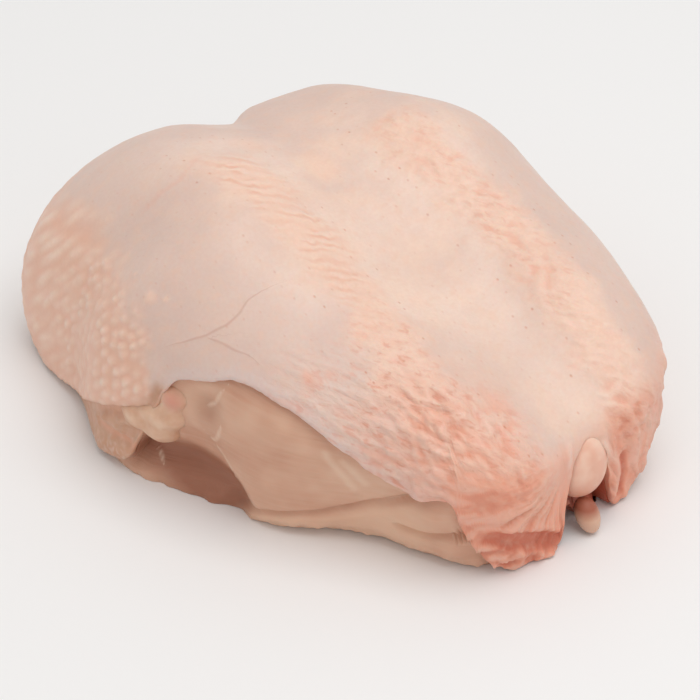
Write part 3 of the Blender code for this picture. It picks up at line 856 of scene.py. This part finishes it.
# %% Apply the flank's relief
near_height, near_fat, near_tendon, near_painted_shade, near_strip = flank_relief(meat_base, meat_drop, meat_degrees, 1)
far_height, far_fat, far_tendon, far_painted_shade, far_strip = flank_relief(meat_base, meat_drop, meat_degrees, -1)
low = ease(meat_base[:, 2], 11, 3)
meat_relief = near_height + far_height
meat_relief += 0.7 * soft_noise(meat_base, 21, 91) + 0.25 * soft_noise(meat_base, 8, 92)
meat_relief += low * (1.1 * soft_noise(meat_base, 5.5, 93) + 0.5 * soft_noise(meat_base, 2.4, 94))
fibres = drawn_noise(meat_base, (0.15, 0.3, 1), 1.6, 26, 95)
meat_relief += 0.1 * fibres
bare = ease(below, 0, 0.06)
slit_hollow = ease(np.abs(turn_between(meat_degrees, -87.5)), 13, 8) * ease(meat_drop, 1.15, 1.45)
meat_relief -= 6.0 * slit_hollow
meat_depth = flank_depth(meat_degrees, below, meat_drop) - bare * meat_relief
print("flank relief from", meat_relief[on_flank].min().round(2), "to",
      meat_relief[on_flank].max().round(2), "mm")

# %% Under the breast: the foot and the ribs inside
climb = np.clip((meat_ring - COVERED_RINGS - FLANK_RINGS - FOOT_RINGS) / CHEST_RINGS, 0, 1)
chest = chest_form(meat_degrees, climb)
ribs = np.cos((chest[:, 1] + 0.45 * np.abs(chest[:, 0])) / 12.5 * 2 * math.pi)
on_ribs = ease(climb, 0.1, 0.35) * ease(np.abs(chest[:, 0]), 4, 14)
chest_normal = unit(np.array([0, 0, 20.0]) - chest)
chest = chest + chest_normal * (on_ribs * (0.9 * ribs) + 0.5 * soft_noise(chest, 7, 96))[:, None]
under_foot = (meat_ring - COVERED_RINGS - FLANK_RINGS) / FOOT_RINGS
sideways = unit(outward(meat_degrees, np.ones(len(meat_drop))) * np.array([1, 1, 0]))
near_floor = ease(below, 0.6, 0.9)[:, None]
inwards = unit(meat_normal * (1 - near_floor) + sideways * near_floor)
foot_out = meat_base - inwards * meat_depth[:, None]
foot_out[:, 2] = np.maximum(foot_out[:, 2], foot_lift(meat_degrees))
foot_in = chest_form(meat_degrees, 0 * climb)
across_foot = np.clip(under_foot, 0, 1)[:, None]
foot = foot_out * (1 - across_foot) + foot_in * across_foot
foot[:, 2] = foot_lift(meat_degrees)
points = np.where((meat_ring <= COVERED_RINGS + FLANK_RINGS)[:, None], foot_out, foot)
points = np.where((climb > 0)[:, None], chest, points)
slit_lift = 12 * ease(np.abs(turn_between(meat_degrees, -93.5)), 6, 3)
points[:, 2] = np.maximum(points[:, 2], slit_lift + 0.05)
set_points(meat, points)

# %% Numbers for the meat's material
in_slit = ease(np.abs(turn_between(meat_degrees, -87.5)), 12, 8) * ease(meat_drop, 0.9, 1.1)
inside = ease(meat_ring, COVERED_RINGS + FLANK_RINGS, COVERED_RINGS + FLANK_RINGS + FOOT_RINGS)
# The hollow number is painted shade, in the flank's hollows and in the slit at the tail.
keep(meat, fat=np.maximum(near_fat, far_fat) * bare,
     hollow=np.clip(np.maximum(near_painted_shade, far_painted_shade) + slit_hollow, 0, 1),
     tendon=np.minimum(near_tendon, far_tendon),
     strip=np.maximum(near_strip, far_strip), red=in_slit * (1 - inside), inside=inside,
     ribs=on_ribs * ribs * inside)
lay = meat.data.attributes.new("lay", "FLOAT_VECTOR", "POINT")
meat_turn = np.radians(meat_degrees)
meat_lay = np.stack([np.cos(meat_turn) * 80, np.sin(meat_turn) * 80, meat_drop * 50 + climb * 90], axis=-1)
lay.data.foreach_set("vector", meat_lay.ravel())
smooth_triangles(meat)
bpy.ops.object.shade_smooth_by_angle(angle=math.radians(50))

# %% [markdown]
# ## Keel tip, rib end and wing joints
#
# The keel's tip is a smooth egg of wet cartilage in its pocket at the tail. The pale end of a rib hangs
# beside the slit. At each flank, soft lumps of fat cover the cut shoulder joint. Each starts as a sphere
# and is drawn to its shape; the lumps are then joined by a voxel remesh and smoothed, as in clay.

# %% An egg of cartilage
def add_egg(name, middle, half_sizes, tilt=0, narrow=0.0, rounds=(48, 32)):
    """A sphere scaled to half_sizes in millimetres, narrower towards its top, and tilted about X."""
    deselect_all()
    bpy.ops.mesh.primitive_uv_sphere_add(segments=rounds[0], ring_count=rounds[1], radius=1)
    egg = bpy.context.object
    egg.name = name
    unit_points = get_points(egg)
    unit_points[:, :2] *= (1 - narrow * unit_points[:, 2])[:, None]
    lean = math.radians(tilt)
    turn = np.array([[1, 0, 0], [0, math.cos(lean), -math.sin(lean)], [0, math.sin(lean), math.cos(lean)]])
    set_points(egg, unit_points * half_sizes @ turn.T + np.array(middle))
    bpy.ops.object.shade_smooth()
    return egg


keel_tip = add_egg("keel_tip_cartilage", (2.9, -85.3, 21.4), (8.3, 6.4, 11.4), tilt=8, narrow=0.22)
rib_end = add_egg("rib_end_cartilage", (0.9, -90.3, 5.8), (3.7, 3.7, 5.9), tilt=-33, narrow=-0.06)
print("keel tip", len(keel_tip.data.polygons), "faces; rib end", len(rib_end.data.polygons), "faces")

# %% Lumps of fat at the wing joints
FAT_LUMPS = [(-0.8, 0.06, 8.4, 7.0), (-4.8, 0.05, 8.0, 6.6), (2.0, 0.03, 6.8, 5.9), (-0.6, 0.14, 7.2, 6.2),
             (3.2, -0.07, 5.6, 5.2)]


def add_wing_joint(name, middle_degrees):
    """Lumps of fat, each given by its turn, fall, radius and depth, joined by a remesh."""
    side = 1 if abs(middle_degrees) > 90 else -1
    lumps = []
    for turn, fall, radius, sink in FAT_LUMPS:
        degrees = np.array([middle_degrees + side * turn])
        drop = np.array([1.06 + fall])
        middle = (outer_form(degrees, drop) - outward(degrees, drop) * sink)[0]
        lumps.append(add_egg(f"{name}_lump", middle, np.array([1.0, 1.1, 0.9]) * radius, rounds=(32, 20)))
    select_only(*lumps)
    bpy.ops.object.join()
    joint = bpy.context.object
    joint.name = name
    remesh = joint.modifiers.new("join the lumps", "REMESH")
    remesh.mode = "VOXEL"
    remesh.voxel_size = 0.6 * METRES
    bpy.ops.object.modifier_apply(modifier=remesh.name)
    smooth = joint.modifiers.new("soften", "SMOOTH")
    smooth.factor = 0.6
    smooth.iterations = 40
    bpy.ops.object.modifier_apply(modifier=smooth.name)
    bpy.ops.object.shade_smooth()
    return joint


wing_joint_right = add_wing_joint("wing_joint_fat_right", 172.5)
wing_joint_left = add_wing_joint("wing_joint_fat_left", 7.5)
for joint, places in ((wing_joint_right, (176.6, 0.99)), (wing_joint_left, (3.4, 0.99))):
    joint_points = get_points(joint) / METRES + np.array([*PLAN_MIDDLE, 0])
    pink = spot(joint_points, *places, 6)
    joint_points = joint_points + unit(joint_points - joint_points.mean(axis=0)) * (
        0.6 * soft_noise(joint_points, 4, 101) + 0.4 * pink)[:, None]
    set_points(joint, joint_points)
    keep(joint, pink=pink)
    print(joint.name, len(joint.data.polygons), "faces")

# %% [markdown]
# ## Colours and finishes
#
# Raw poultry is moist and slightly see-through: light enters, scatters a millimetre or two and comes out
# softened and redder. So each finish is a plain shader with some light under the surface, a soft gloss,
# and colour that follows the numbers stored on the points.

# %% Colours as they look, turned to light
def colour(code):
    """Linear colour for a shader from an sRGB hex code."""
    parts = [int(code[index:index + 2], 16) / 255 for index in (0, 2, 4)]
    return [part / 12.92 if part <= 0.04045 else ((part + 0.055) / 1.055) ** 2.4 for part in parts] + [1]


print("cream in linear light:", [round(part, 3) for part in colour("EBD5C9")])

# %% Adding nodes
def give(material, node, inputs):
    """Gives a node's inputs plain values, or links from sockets or from other nodes' first outputs."""
    for name, value in inputs.items():
        if isinstance(value, bpy.types.Node):
            value = next(socket for socket in value.outputs if socket.enabled)
        if isinstance(value, bpy.types.NodeSocket):
            material.node_tree.links.new(value, node.inputs[name])
        else:
            node.inputs[name].default_value = value


def add(material, kind, inputs=None, **settings):
    """Adds a node with its settings and its inputs."""
    node = material.node_tree.nodes.new(kind)
    for name, value in settings.items():
        setattr(node, name, value)
    give(material, node, inputs or {})
    return node


def start_material(name):
    """A new material, with the place on the object in metres."""
    material = bpy.data.materials.new(name)
    material.use_nodes = True
    return material, add(material, "ShaderNodeTexCoord").outputs["Object"]


# %% Raw chicken skin: moist, pale and slightly see-through
skin_finish, place = start_material("raw_chicken_skin")
clouds = add(skin_finish, "ShaderNodeTexNoise", {"Vector": place, "Scale": 1 / 0.03, "Detail": 3.0})
clouds = add(skin_finish, "ShaderNodeMapRange", {"Value": clouds, "From Min": 0.4, "From Max": 0.62})
shade = add(skin_finish, "ShaderNodeMix", {0: clouds, 6: colour("E4C8BA"), 7: colour("EFD5C6")}, data_type="RGBA")
warm = add(skin_finish, "ShaderNodeTexNoise", {"Vector": place, "Scale": 1 / 0.013, "Detail": 2.0, "W": 3.0},
           noise_dimensions="4D")
warm = add(skin_finish, "ShaderNodeMapRange", {"Value": warm, "From Min": 0.45, "From Max": 0.7, "To Max": 0.6})
shade = add(skin_finish, "ShaderNodeMix", {0: warm, 6: shade, 7: colour("F3D3BE")}, data_type="RGBA")

# %% Colours that follow the numbers on the skin's points
# The goose layer lightens the tops of the goose bumps, partly their own pale colour and partly a painted highlight.
# The neck layer is the tan of the turned-in skin, darkened under the crease as painted shade. The blush layer is pink
# skin and painted shade in folds and creases.
SKIN_LAYERS = [("thin", 0.6, "D5BAAF"), ("tract", 0.75, "F2CEB9"), ("rim", 0.5, "DDCBC6"),
               ("shoulder", 0.95, "E9C1AA"), ("goose", 0.75, "F6DBC9"), ("neck", 0.95, "CB9D80"),
               ("blush", 1.0, "ECA489")]
for name, strength, code in SKIN_LAYERS:
    amount = add(skin_finish, "ShaderNodeAttribute", attribute_name=name)
    amount = add(skin_finish, "ShaderNodeMapRange", {"Value": amount, "To Max": strength})
    shade = add(skin_finish, "ShaderNodeMix", {0: amount, 6: shade, 7: colour(code)}, data_type="RGBA")
    print(name, "goes towards", code)
# Where the number passes 0.9, mostly in the deep fold and inside the curled lip, the colour turns dark red: painted
# shadow.
deep_red_and_shade = add(skin_finish, "ShaderNodeAttribute", attribute_name="blush")
deep_red_and_shade = add(skin_finish, "ShaderNodeMapRange", {"Value": deep_red_and_shade, "From Min": 0.9, "From Max": 1.6})
shade = add(skin_finish, "ShaderNodeMix", {0: deep_red_and_shade, 6: shade, 7: colour("CF7459")}, data_type="RGBA")

# %% The finest wrinkles
# They are 1 to 2 mm apart. Two noises are drawn out along them: ripples over the tract, creases at the tail.
aslant_place = add(skin_finish, "ShaderNodeMapping",
                   {"Vector": place, "Rotation": (0, math.radians(-52), math.radians(34))}, vector_type="TEXTURE")
ripples = add(skin_finish, "ShaderNodeTexWave",
              {"Vector": aslant_place, "Scale": 125.0, "Distortion": 6.0, "Detail": 2.0, "Detail Scale": 1.2})
rippled = add(skin_finish, "ShaderNodeAttribute", attribute_name="rippled")
short_place = add(skin_finish, "ShaderNodeMapping",
                  {"Vector": aslant_place, "Scale": (0.0035, 0.009, 0.009)}, vector_type="TEXTURE")
broken = add(skin_finish, "ShaderNodeTexNoise", {"Vector": short_place, "Scale": 1.0, "Detail": 1.0})
broken = add(skin_finish, "ShaderNodeMapRange", {"Value": broken, "From Min": 0.36, "From Max": 0.58, "To Min": 0.12})
rippled = add(skin_finish, "ShaderNodeMath", {0: rippled, 1: broken}, operation="MULTIPLY")
# The ripples' troughs are tinted darker as painted shade, and their ridges lighter as a painted highlight.
ripple_trough_shade = add(skin_finish, "ShaderNodeMapRange", {"Value": ripples, "From Min": 0.6, "From Max": 0.0, "To Max": 0.55})
ripple_trough_shade = add(skin_finish, "ShaderNodeMath", {0: ripple_trough_shade, 1: rippled}, operation="MULTIPLY")
shade = add(skin_finish, "ShaderNodeMix", {0: ripple_trough_shade, 6: shade, 7: colour("E6A98E")}, data_type="RGBA")
ripple_ridge_highlight = add(skin_finish, "ShaderNodeMapRange", {"Value": ripples, "From Min": 0.5, "From Max": 1.0, "To Max": 0.3})
ripple_ridge_highlight = add(skin_finish, "ShaderNodeMath", {0: ripple_ridge_highlight, 1: rippled}, operation="MULTIPLY")
shade = add(skin_finish, "ShaderNodeMix", {0: ripple_ridge_highlight, 6: shade, 7: colour("F8E2D3")}, data_type="RGBA")
length_place = add(skin_finish, "ShaderNodeMapping",
                   {"Vector": place, "Rotation": (0, math.radians(-46), math.radians(9)),
                    "Scale": (0.0016, 0.0042, 0.0042)}, vector_type="TEXTURE")
length_lines = add(skin_finish, "ShaderNodeTexNoise",
                   {"Vector": length_place, "Scale": 1.0, "Detail": 3.0, "Distortion": 0.4})
fan_place = add(skin_finish, "ShaderNodeAttribute", attribute_name="fan_place").outputs["Vector"]
fan_lines = add(skin_finish, "ShaderNodeTexNoise", {"Vector": fan_place, "Scale": 1.0, "Detail": 2.0, "Distortion": 0.3})
fan_amount = add(skin_finish, "ShaderNodeAttribute", attribute_name="fan")
lines = add(skin_finish, "ShaderNodeMix", {0: fan_amount, 2: length_lines, 3: fan_lines}, data_type="FLOAT")
wrinkled = add(skin_finish, "ShaderNodeAttribute", attribute_name="wrinkled")
cracks = add(skin_finish, "ShaderNodeMath", {0: lines, 1: 0.5}, operation="SUBTRACT")
cracks = add(skin_finish, "ShaderNodeMath", {0: cracks}, operation="ABSOLUTE")
cracks = add(skin_finish, "ShaderNodeMapRange", {"Value": cracks, "From Min": 0.035, "From Max": 0.0})
cracks = add(skin_finish, "ShaderNodeMath", {0: cracks, 1: wrinkled}, operation="MULTIPLY")
# Darker tint in the cracks and in the hollows of the wrinkle lines is painted shade.
crack_shade_tint = add(skin_finish, "ShaderNodeMath", {0: cracks, 1: 0.12}, operation="MULTIPLY")
shade = add(skin_finish, "ShaderNodeMix", {0: crack_shade_tint, 6: shade, 7: colour("DC8C72")}, data_type="RGBA")
wrinkle_hollow_shade = add(skin_finish, "ShaderNodeMapRange", {"Value": lines, "From Min": 0.47, "From Max": 0.33, "To Max": 0.6})
wrinkle_hollow_shade = add(skin_finish, "ShaderNodeMath", {0: wrinkle_hollow_shade, 1: wrinkled}, operation="MULTIPLY")
shade = add(skin_finish, "ShaderNodeMix", {0: wrinkle_hollow_shade, 6: shade, 7: colour("DB937A")}, data_type="RGBA")

# %% Pores beside the feather tracts
# They lie about 6 mm apart, each a reddish dot near 1 mm across.
lay = add(skin_finish, "ShaderNodeAttribute", attribute_name="lay").outputs["Vector"]
rows = add(skin_finish, "ShaderNodeTexVoronoi", {"Vector": lay, "Scale": 1 / 5.6, "Randomness": 0.8},
           voronoi_dimensions="2D")
offset = add(skin_finish, "ShaderNodeVectorMath", {0: lay, 1: rows.outputs["Position"]}, operation="SUBTRACT")
dot = add(skin_finish, "ShaderNodeMapping", {"Vector": offset, "Rotation": (0, 0, math.radians(35)),
                                             "Scale": (1 / 0.42, 1 / 0.62, 1)})
dot = add(skin_finish, "ShaderNodeVectorMath", {0: dot}, operation="LENGTH").outputs["Value"]
dot = add(skin_finish, "ShaderNodeMapRange", {"Value": dot, "From Min": 1.15, "From Max": 0.3})
chance = add(skin_finish, "ShaderNodeSeparateColor", {"Color": rows.outputs["Color"]})
chance = add(skin_finish, "ShaderNodeMapRange", {"Value": chance, "From Min": 0.3, "From Max": 0.9})
dot = add(skin_finish, "ShaderNodeMath", {0: dot, 1: chance}, operation="MULTIPLY")
pore_zone = add(skin_finish, "ShaderNodeAttribute", attribute_name="pores")
pore = add(skin_finish, "ShaderNodeMath", {0: dot, 1: pore_zone}, operation="MULTIPLY")
pore_tint = add(skin_finish, "ShaderNodeMath", {0: pore, 1: 0.65}, operation="MULTIPLY")
shade = add(skin_finish, "ShaderNodeMix", {0: pore_tint, 6: shade, 7: colour("D08566")}, data_type="RGBA")

# %% Veins under the skin
vein = add(skin_finish, "ShaderNodeAttribute", attribute_name="vein")
vein = add(skin_finish, "ShaderNodeMath", {0: vein}, operation="ABSOLUTE")
vein = add(skin_finish, "ShaderNodeMapRange", {"Value": vein, "From Min": 0.62, "From Max": 0.1, "To Max": 0.4})
shade = add(skin_finish, "ShaderNodeMix", {0: vein, 6: shade, 7: colour("C29280")}, data_type="RGBA")

# %% Gloss and softness of the skin
grain = add(skin_finish, "ShaderNodeTexNoise", {"Vector": place, "Scale": 1 / 0.0012, "Detail": 3.0})
mottle = add(skin_finish, "ShaderNodeMapRange", {"Value": grain, "From Min": 0.35, "From Max": 0.65, "To Max": 0.1})
shade = add(skin_finish, "ShaderNodeMix", {0: mottle, 6: shade, 7: colour("CF9F8B")}, data_type="RGBA")
flecks = add(skin_finish, "ShaderNodeTexNoise", {"Vector": place, "Scale": 1 / 0.0035, "Detail": 2.0})
flecks = add(skin_finish, "ShaderNodeMapRange", {"Value": flecks, "From Min": 0.5, "From Max": 0.72, "To Max": 0.3})
shade = add(skin_finish, "ShaderNodeMix", {0: flecks, 6: shade, 7: colour("E8BFA8")}, data_type="RGBA")
# Lighter colour where the skin is wet is a painted highlight; the lower roughness below is the real wet gloss.
wet = add(skin_finish, "ShaderNodeAttribute", attribute_name="wet")
wet_tint = add(skin_finish, "ShaderNodeMath", {0: wet, 1: 0.22}, operation="MULTIPLY")
shade = add(skin_finish, "ShaderNodeMix", {0: wet_tint, 6: shade, 7: colour("F8E9E0")}, data_type="RGBA")
film = add(skin_finish, "ShaderNodeTexNoise", {"Vector": place, "Scale": 1 / 0.009, "Detail": 3.0})
film = add(skin_finish, "ShaderNodeMapRange", {"Value": film, "From Min": 0.35, "From Max": 0.65,
                                               "To Min": 0.52, "To Max": 0.4})
film = add(skin_finish, "ShaderNodeMath", {0: wet, 1: -0.2, 2: film}, operation="MULTIPLY_ADD")
wrinkle_height = add(skin_finish, "ShaderNodeMath", {0: lines, 1: wrinkled}, operation="MULTIPLY")
wrinkle_height = add(skin_finish, "ShaderNodeMath", {0: cracks, 1: -0.06, 2: wrinkle_height}, operation="MULTIPLY_ADD")
ripple_height = add(skin_finish, "ShaderNodeMath", {0: ripples, 1: rippled}, operation="MULTIPLY")
wrinkle_height = add(skin_finish, "ShaderNodeMath", {0: ripple_height, 1: 0.4, 2: wrinkle_height},
                     operation="MULTIPLY_ADD")
fine_height = add(skin_finish, "ShaderNodeMath", {0: grain, 1: 0.1, 2: wrinkle_height}, operation="MULTIPLY_ADD")
fine_height = add(skin_finish, "ShaderNodeMath", {0: pore, 1: -0.2, 2: fine_height}, operation="MULTIPLY_ADD")
skin_bump = add(skin_finish, "ShaderNodeBump", {"Height": fine_height, "Strength": 0.6, "Distance": 0.001})
give(skin_finish, skin_finish.node_tree.nodes["Principled BSDF"],
     {"Base Color": shade, "Roughness": film, "Normal": skin_bump, "IOR": 1.4, "Subsurface Weight": 0.3,
      "Subsurface Radius": (1.0, 0.45, 0.3), "Subsurface Scale": 0.0016, "Coat Weight": 0.1,
      "Coat Roughness": 0.25})

# %% [markdown]
# Breast meat is a bundle of fine fibres along the keel. Where a knife has bared it, it looks satin and tan
# pink, with pale tendons; painted shade makes it browner in its hollows. Thin red membrane lies over the ribs inside.

# %% Raw breast meat: satin, tan pink, with fine fibres
meat_finish, place = start_material("raw_breast_meat")
clouds = add(meat_finish, "ShaderNodeTexNoise", {"Vector": place, "Scale": 1 / 0.018, "Detail": 2.5})
clouds = add(meat_finish, "ShaderNodeMapRange", {"Value": clouds, "From Min": 0.36, "From Max": 0.64})
shade = add(meat_finish, "ShaderNodeMix", {0: clouds, 6: colour("CD9A80"), 7: colour("DCB197")}, data_type="RGBA")
lay = add(meat_finish, "ShaderNodeAttribute", attribute_name="lay").outputs["Vector"]
fibre_place = add(meat_finish, "ShaderNodeMapping", {"Vector": lay, "Scale": (0.05, 0.05, 0.8)})
fibres = add(meat_finish, "ShaderNodeTexNoise", {"Vector": fibre_place, "Scale": 1.0, "Detail": 4.0})
pale_fibres = add(meat_finish, "ShaderNodeMapRange", {"Value": fibres, "From Min": 0.4, "From Max": 0.75,
                                                      "To Max": 0.22})
shade = add(meat_finish, "ShaderNodeMix", {0: pale_fibres, 6: shade, 7: colour("E3C0A8")}, data_type="RGBA")

# %% Colours that follow the numbers on the meat's points
# The hollow layer turns the meat brown as painted shade.
MEAT_LAYERS = [("strip", 0.65, "E5BDA1"), ("hollow", 0.9, "9C634B"), ("inside", 1.0, "C98B77"),
               ("ribs", 0.8, "E0BFAD"), ("red", 0.9, "BC614A"), ("fat", 0.7, "EBD0B8")]
for name, strength, code in MEAT_LAYERS:
    amount = add(meat_finish, "ShaderNodeAttribute", attribute_name=name)
    amount = add(meat_finish, "ShaderNodeMapRange", {"Value": amount, "To Max": strength})
    shade = add(meat_finish, "ShaderNodeMix", {0: amount, 6: shade, 7: colour(code)}, data_type="RGBA")
    print(name, "goes towards", code)
tendon = add(meat_finish, "ShaderNodeAttribute", attribute_name="tendon")
tendon = add(meat_finish, "ShaderNodeMapRange", {"Value": tendon, "From Min": 1.1, "From Max": 0.2, "To Max": 0.5})
shade = add(meat_finish, "ShaderNodeMix", {0: tendon, 6: shade, 7: colour("EAD0B9")}, data_type="RGBA")
meat_bump = add(meat_finish, "ShaderNodeBump", {"Height": fibres, "Strength": 0.4, "Distance": 0.0005})
give(meat_finish, meat_finish.node_tree.nodes["Principled BSDF"],
     {"Base Color": shade, "Normal": meat_bump, "Roughness": 0.48, "IOR": 1.4, "Subsurface Weight": 0.22,
      "Subsurface Radius": (1.0, 0.35, 0.25), "Subsurface Scale": 0.0018, "Coat Weight": 0.08,
      "Coat Roughness": 0.3})

# %% Wet cartilage: smooth, pearly, pink where blood shows through, with painted shade darker towards its bottom
cartilage_finish, place = start_material("wet_cartilage")
clouds = add(cartilage_finish, "ShaderNodeTexNoise", {"Vector": place, "Scale": 1 / 0.007, "Detail": 2.0})
clouds = add(cartilage_finish, "ShaderNodeMapRange", {"Value": clouds, "From Min": 0.36, "From Max": 0.64})
shade = add(cartilage_finish, "ShaderNodeMix", {0: clouds, 6: colour("EBB7A0"), 7: colour("F5CFBA")},
            data_type="RGBA")
# Painted shade: the lower part of each egg is tinted darker pink.
height = add(cartilage_finish, "ShaderNodeSeparateXYZ", {"Vector": place}).outputs["Z"]
height = add(cartilage_finish, "ShaderNodeMapRange", {"Value": height, "From Min": 0.022, "From Max": 0.012})
shade = add(cartilage_finish, "ShaderNodeMix", {0: height, 6: shade, 7: colour("E0A086")}, data_type="RGBA")
give(cartilage_finish, cartilage_finish.node_tree.nodes["Principled BSDF"],
     {"Base Color": shade, "Roughness": 0.42, "IOR": 1.4, "Subsurface Weight": 0.3,
      "Subsurface Radius": (1.0, 0.45, 0.35), "Subsurface Scale": 0.0016, "Coat Weight": 0.1,
      "Coat Roughness": 0.25})

# %% Rib end: tan, dull bone with a cap of cartilage, its upper part painted dark red-brown as shade
bone_finish, place = start_material("rib_bone_cap")
clouds = add(bone_finish, "ShaderNodeTexNoise", {"Vector": place, "Scale": 1 / 0.005, "Detail": 2.0})
shade = add(bone_finish, "ShaderNodeMix", {0: clouds, 6: colour("CFA085"), 7: colour("E0BCA5")}, data_type="RGBA")
# Painted shade: above about 9 mm the rib end turns dark red-brown, so only its lower cap shows pale.
height = add(bone_finish, "ShaderNodeSeparateXYZ", {"Vector": place}).outputs["Z"]
height = add(bone_finish, "ShaderNodeMapRange", {"Value": height, "From Min": 0.006, "From Max": 0.009})
shade = add(bone_finish, "ShaderNodeMix", {0: height, 6: shade, 7: colour("A8634C")}, data_type="RGBA")
give(bone_finish, bone_finish.node_tree.nodes["Principled BSDF"],
     {"Base Color": shade, "Roughness": 0.45, "IOR": 1.45, "Subsurface Weight": 0.2,
      "Subsurface Radius": (1.0, 0.5, 0.35), "Subsurface Scale": 0.0015})

# %% Poultry fat: soft, buttery and moist, pink where blood has stained it
fat_finish, place = start_material("moist_poultry_fat")
clouds = add(fat_finish, "ShaderNodeTexNoise", {"Vector": place, "Scale": 1 / 0.008, "Detail": 3.0})
clouds = add(fat_finish, "ShaderNodeMapRange", {"Value": clouds, "From Min": 0.36, "From Max": 0.64})
shade = add(fat_finish, "ShaderNodeMix", {0: clouds, 6: colour("D6A789"), 7: colour("E5C1A6")}, data_type="RGBA")
pink = add(fat_finish, "ShaderNodeAttribute", attribute_name="pink")
shade = add(fat_finish, "ShaderNodeMix", {0: pink, 6: shade, 7: colour("D99A85")}, data_type="RGBA")
give(fat_finish, fat_finish.node_tree.nodes["Principled BSDF"],
     {"Base Color": shade, "Roughness": 0.42, "IOR": 1.45, "Subsurface Weight": 0.3,
      "Subsurface Radius": (1.0, 0.5, 0.3), "Subsurface Scale": 0.002, "Coat Weight": 0.1,
      "Coat Roughness": 0.25})

# %% Dress each piece and let it stand for its solid
DRESSED = [(skin, skin_finish, "skin", "raw_skin"), (meat, meat_finish, "flesh", "raw_meat"),
           (keel_tip, cartilage_finish, "keel_tip", "cartilage"), (rib_end, bone_finish, "rib_end", "cartilage"),
           (wing_joint_right, fat_finish, "wing_joint_right", "pale_fat"),
           (wing_joint_left, fat_finish, "wing_joint_left", "pale_fat")]
for piece, finish, solid, slot in DRESSED:
    piece.data.materials.clear()
    piece.data.materials.append(finish)
    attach(piece, "root")
    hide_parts(solid)
    print(piece.name, "stands for", solid)

# %% [markdown]
# ## Table and light
#
# A plain white table fills the view. One wide soft light hangs over the breast and pale light comes from
# all round, so that shadows stay soft. The view transform is the plain one, so that the colours of the
# render are those of the finishes in the light, with nothing toned down.

# %% The table
deselect_all()
bpy.ops.mesh.primitive_plane_add(size=6)
table = bpy.context.object
table.name = "table_top"
table_finish, place = start_material("white_laminate")
give(table_finish, table_finish.node_tree.nodes["Principled BSDF"],
     {"Base Color": colour("F2F2F2"), "Roughness": 0.6})
table.data.materials.append(table_finish)
table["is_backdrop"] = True

# %% Light
SOFTBOX_PLACE = (0.1, -0.35, 1.35)
deselect_all()
bpy.ops.object.light_add(type="AREA", location=SOFTBOX_PLACE)
softbox = bpy.context.object
softbox.name = "overhead_softbox"
softbox.data.size = 1.1
softbox.data.energy = 8.2
softbox.rotation_euler = (Vector((0, 0, 0.03)) - Vector(SOFTBOX_PLACE)).to_track_quat("-Z", "Y").to_euler()
room = bpy.data.worlds.new("pale_room")
bpy.context.scene.world = room
room.use_nodes = True
room.node_tree.nodes["Background"].inputs["Color"].default_value = colour("FAF8F6")
room.node_tree.nodes["Background"].inputs["Strength"].default_value = 0.7
bpy.context.scene.view_settings.view_transform = "Standard"

# %% Check the size against the solid
low_corner, high_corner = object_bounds()
for axis, before, low_now, high_now in zip("XYZ", zip(solid_low, solid_high), low_corner, high_corner):
    print(axis, "solid", [round(value * 1000, 1) for value in before], "dressed",
          [round(low_now * 1000, 1), round(high_now * 1000, 1)], "mm")
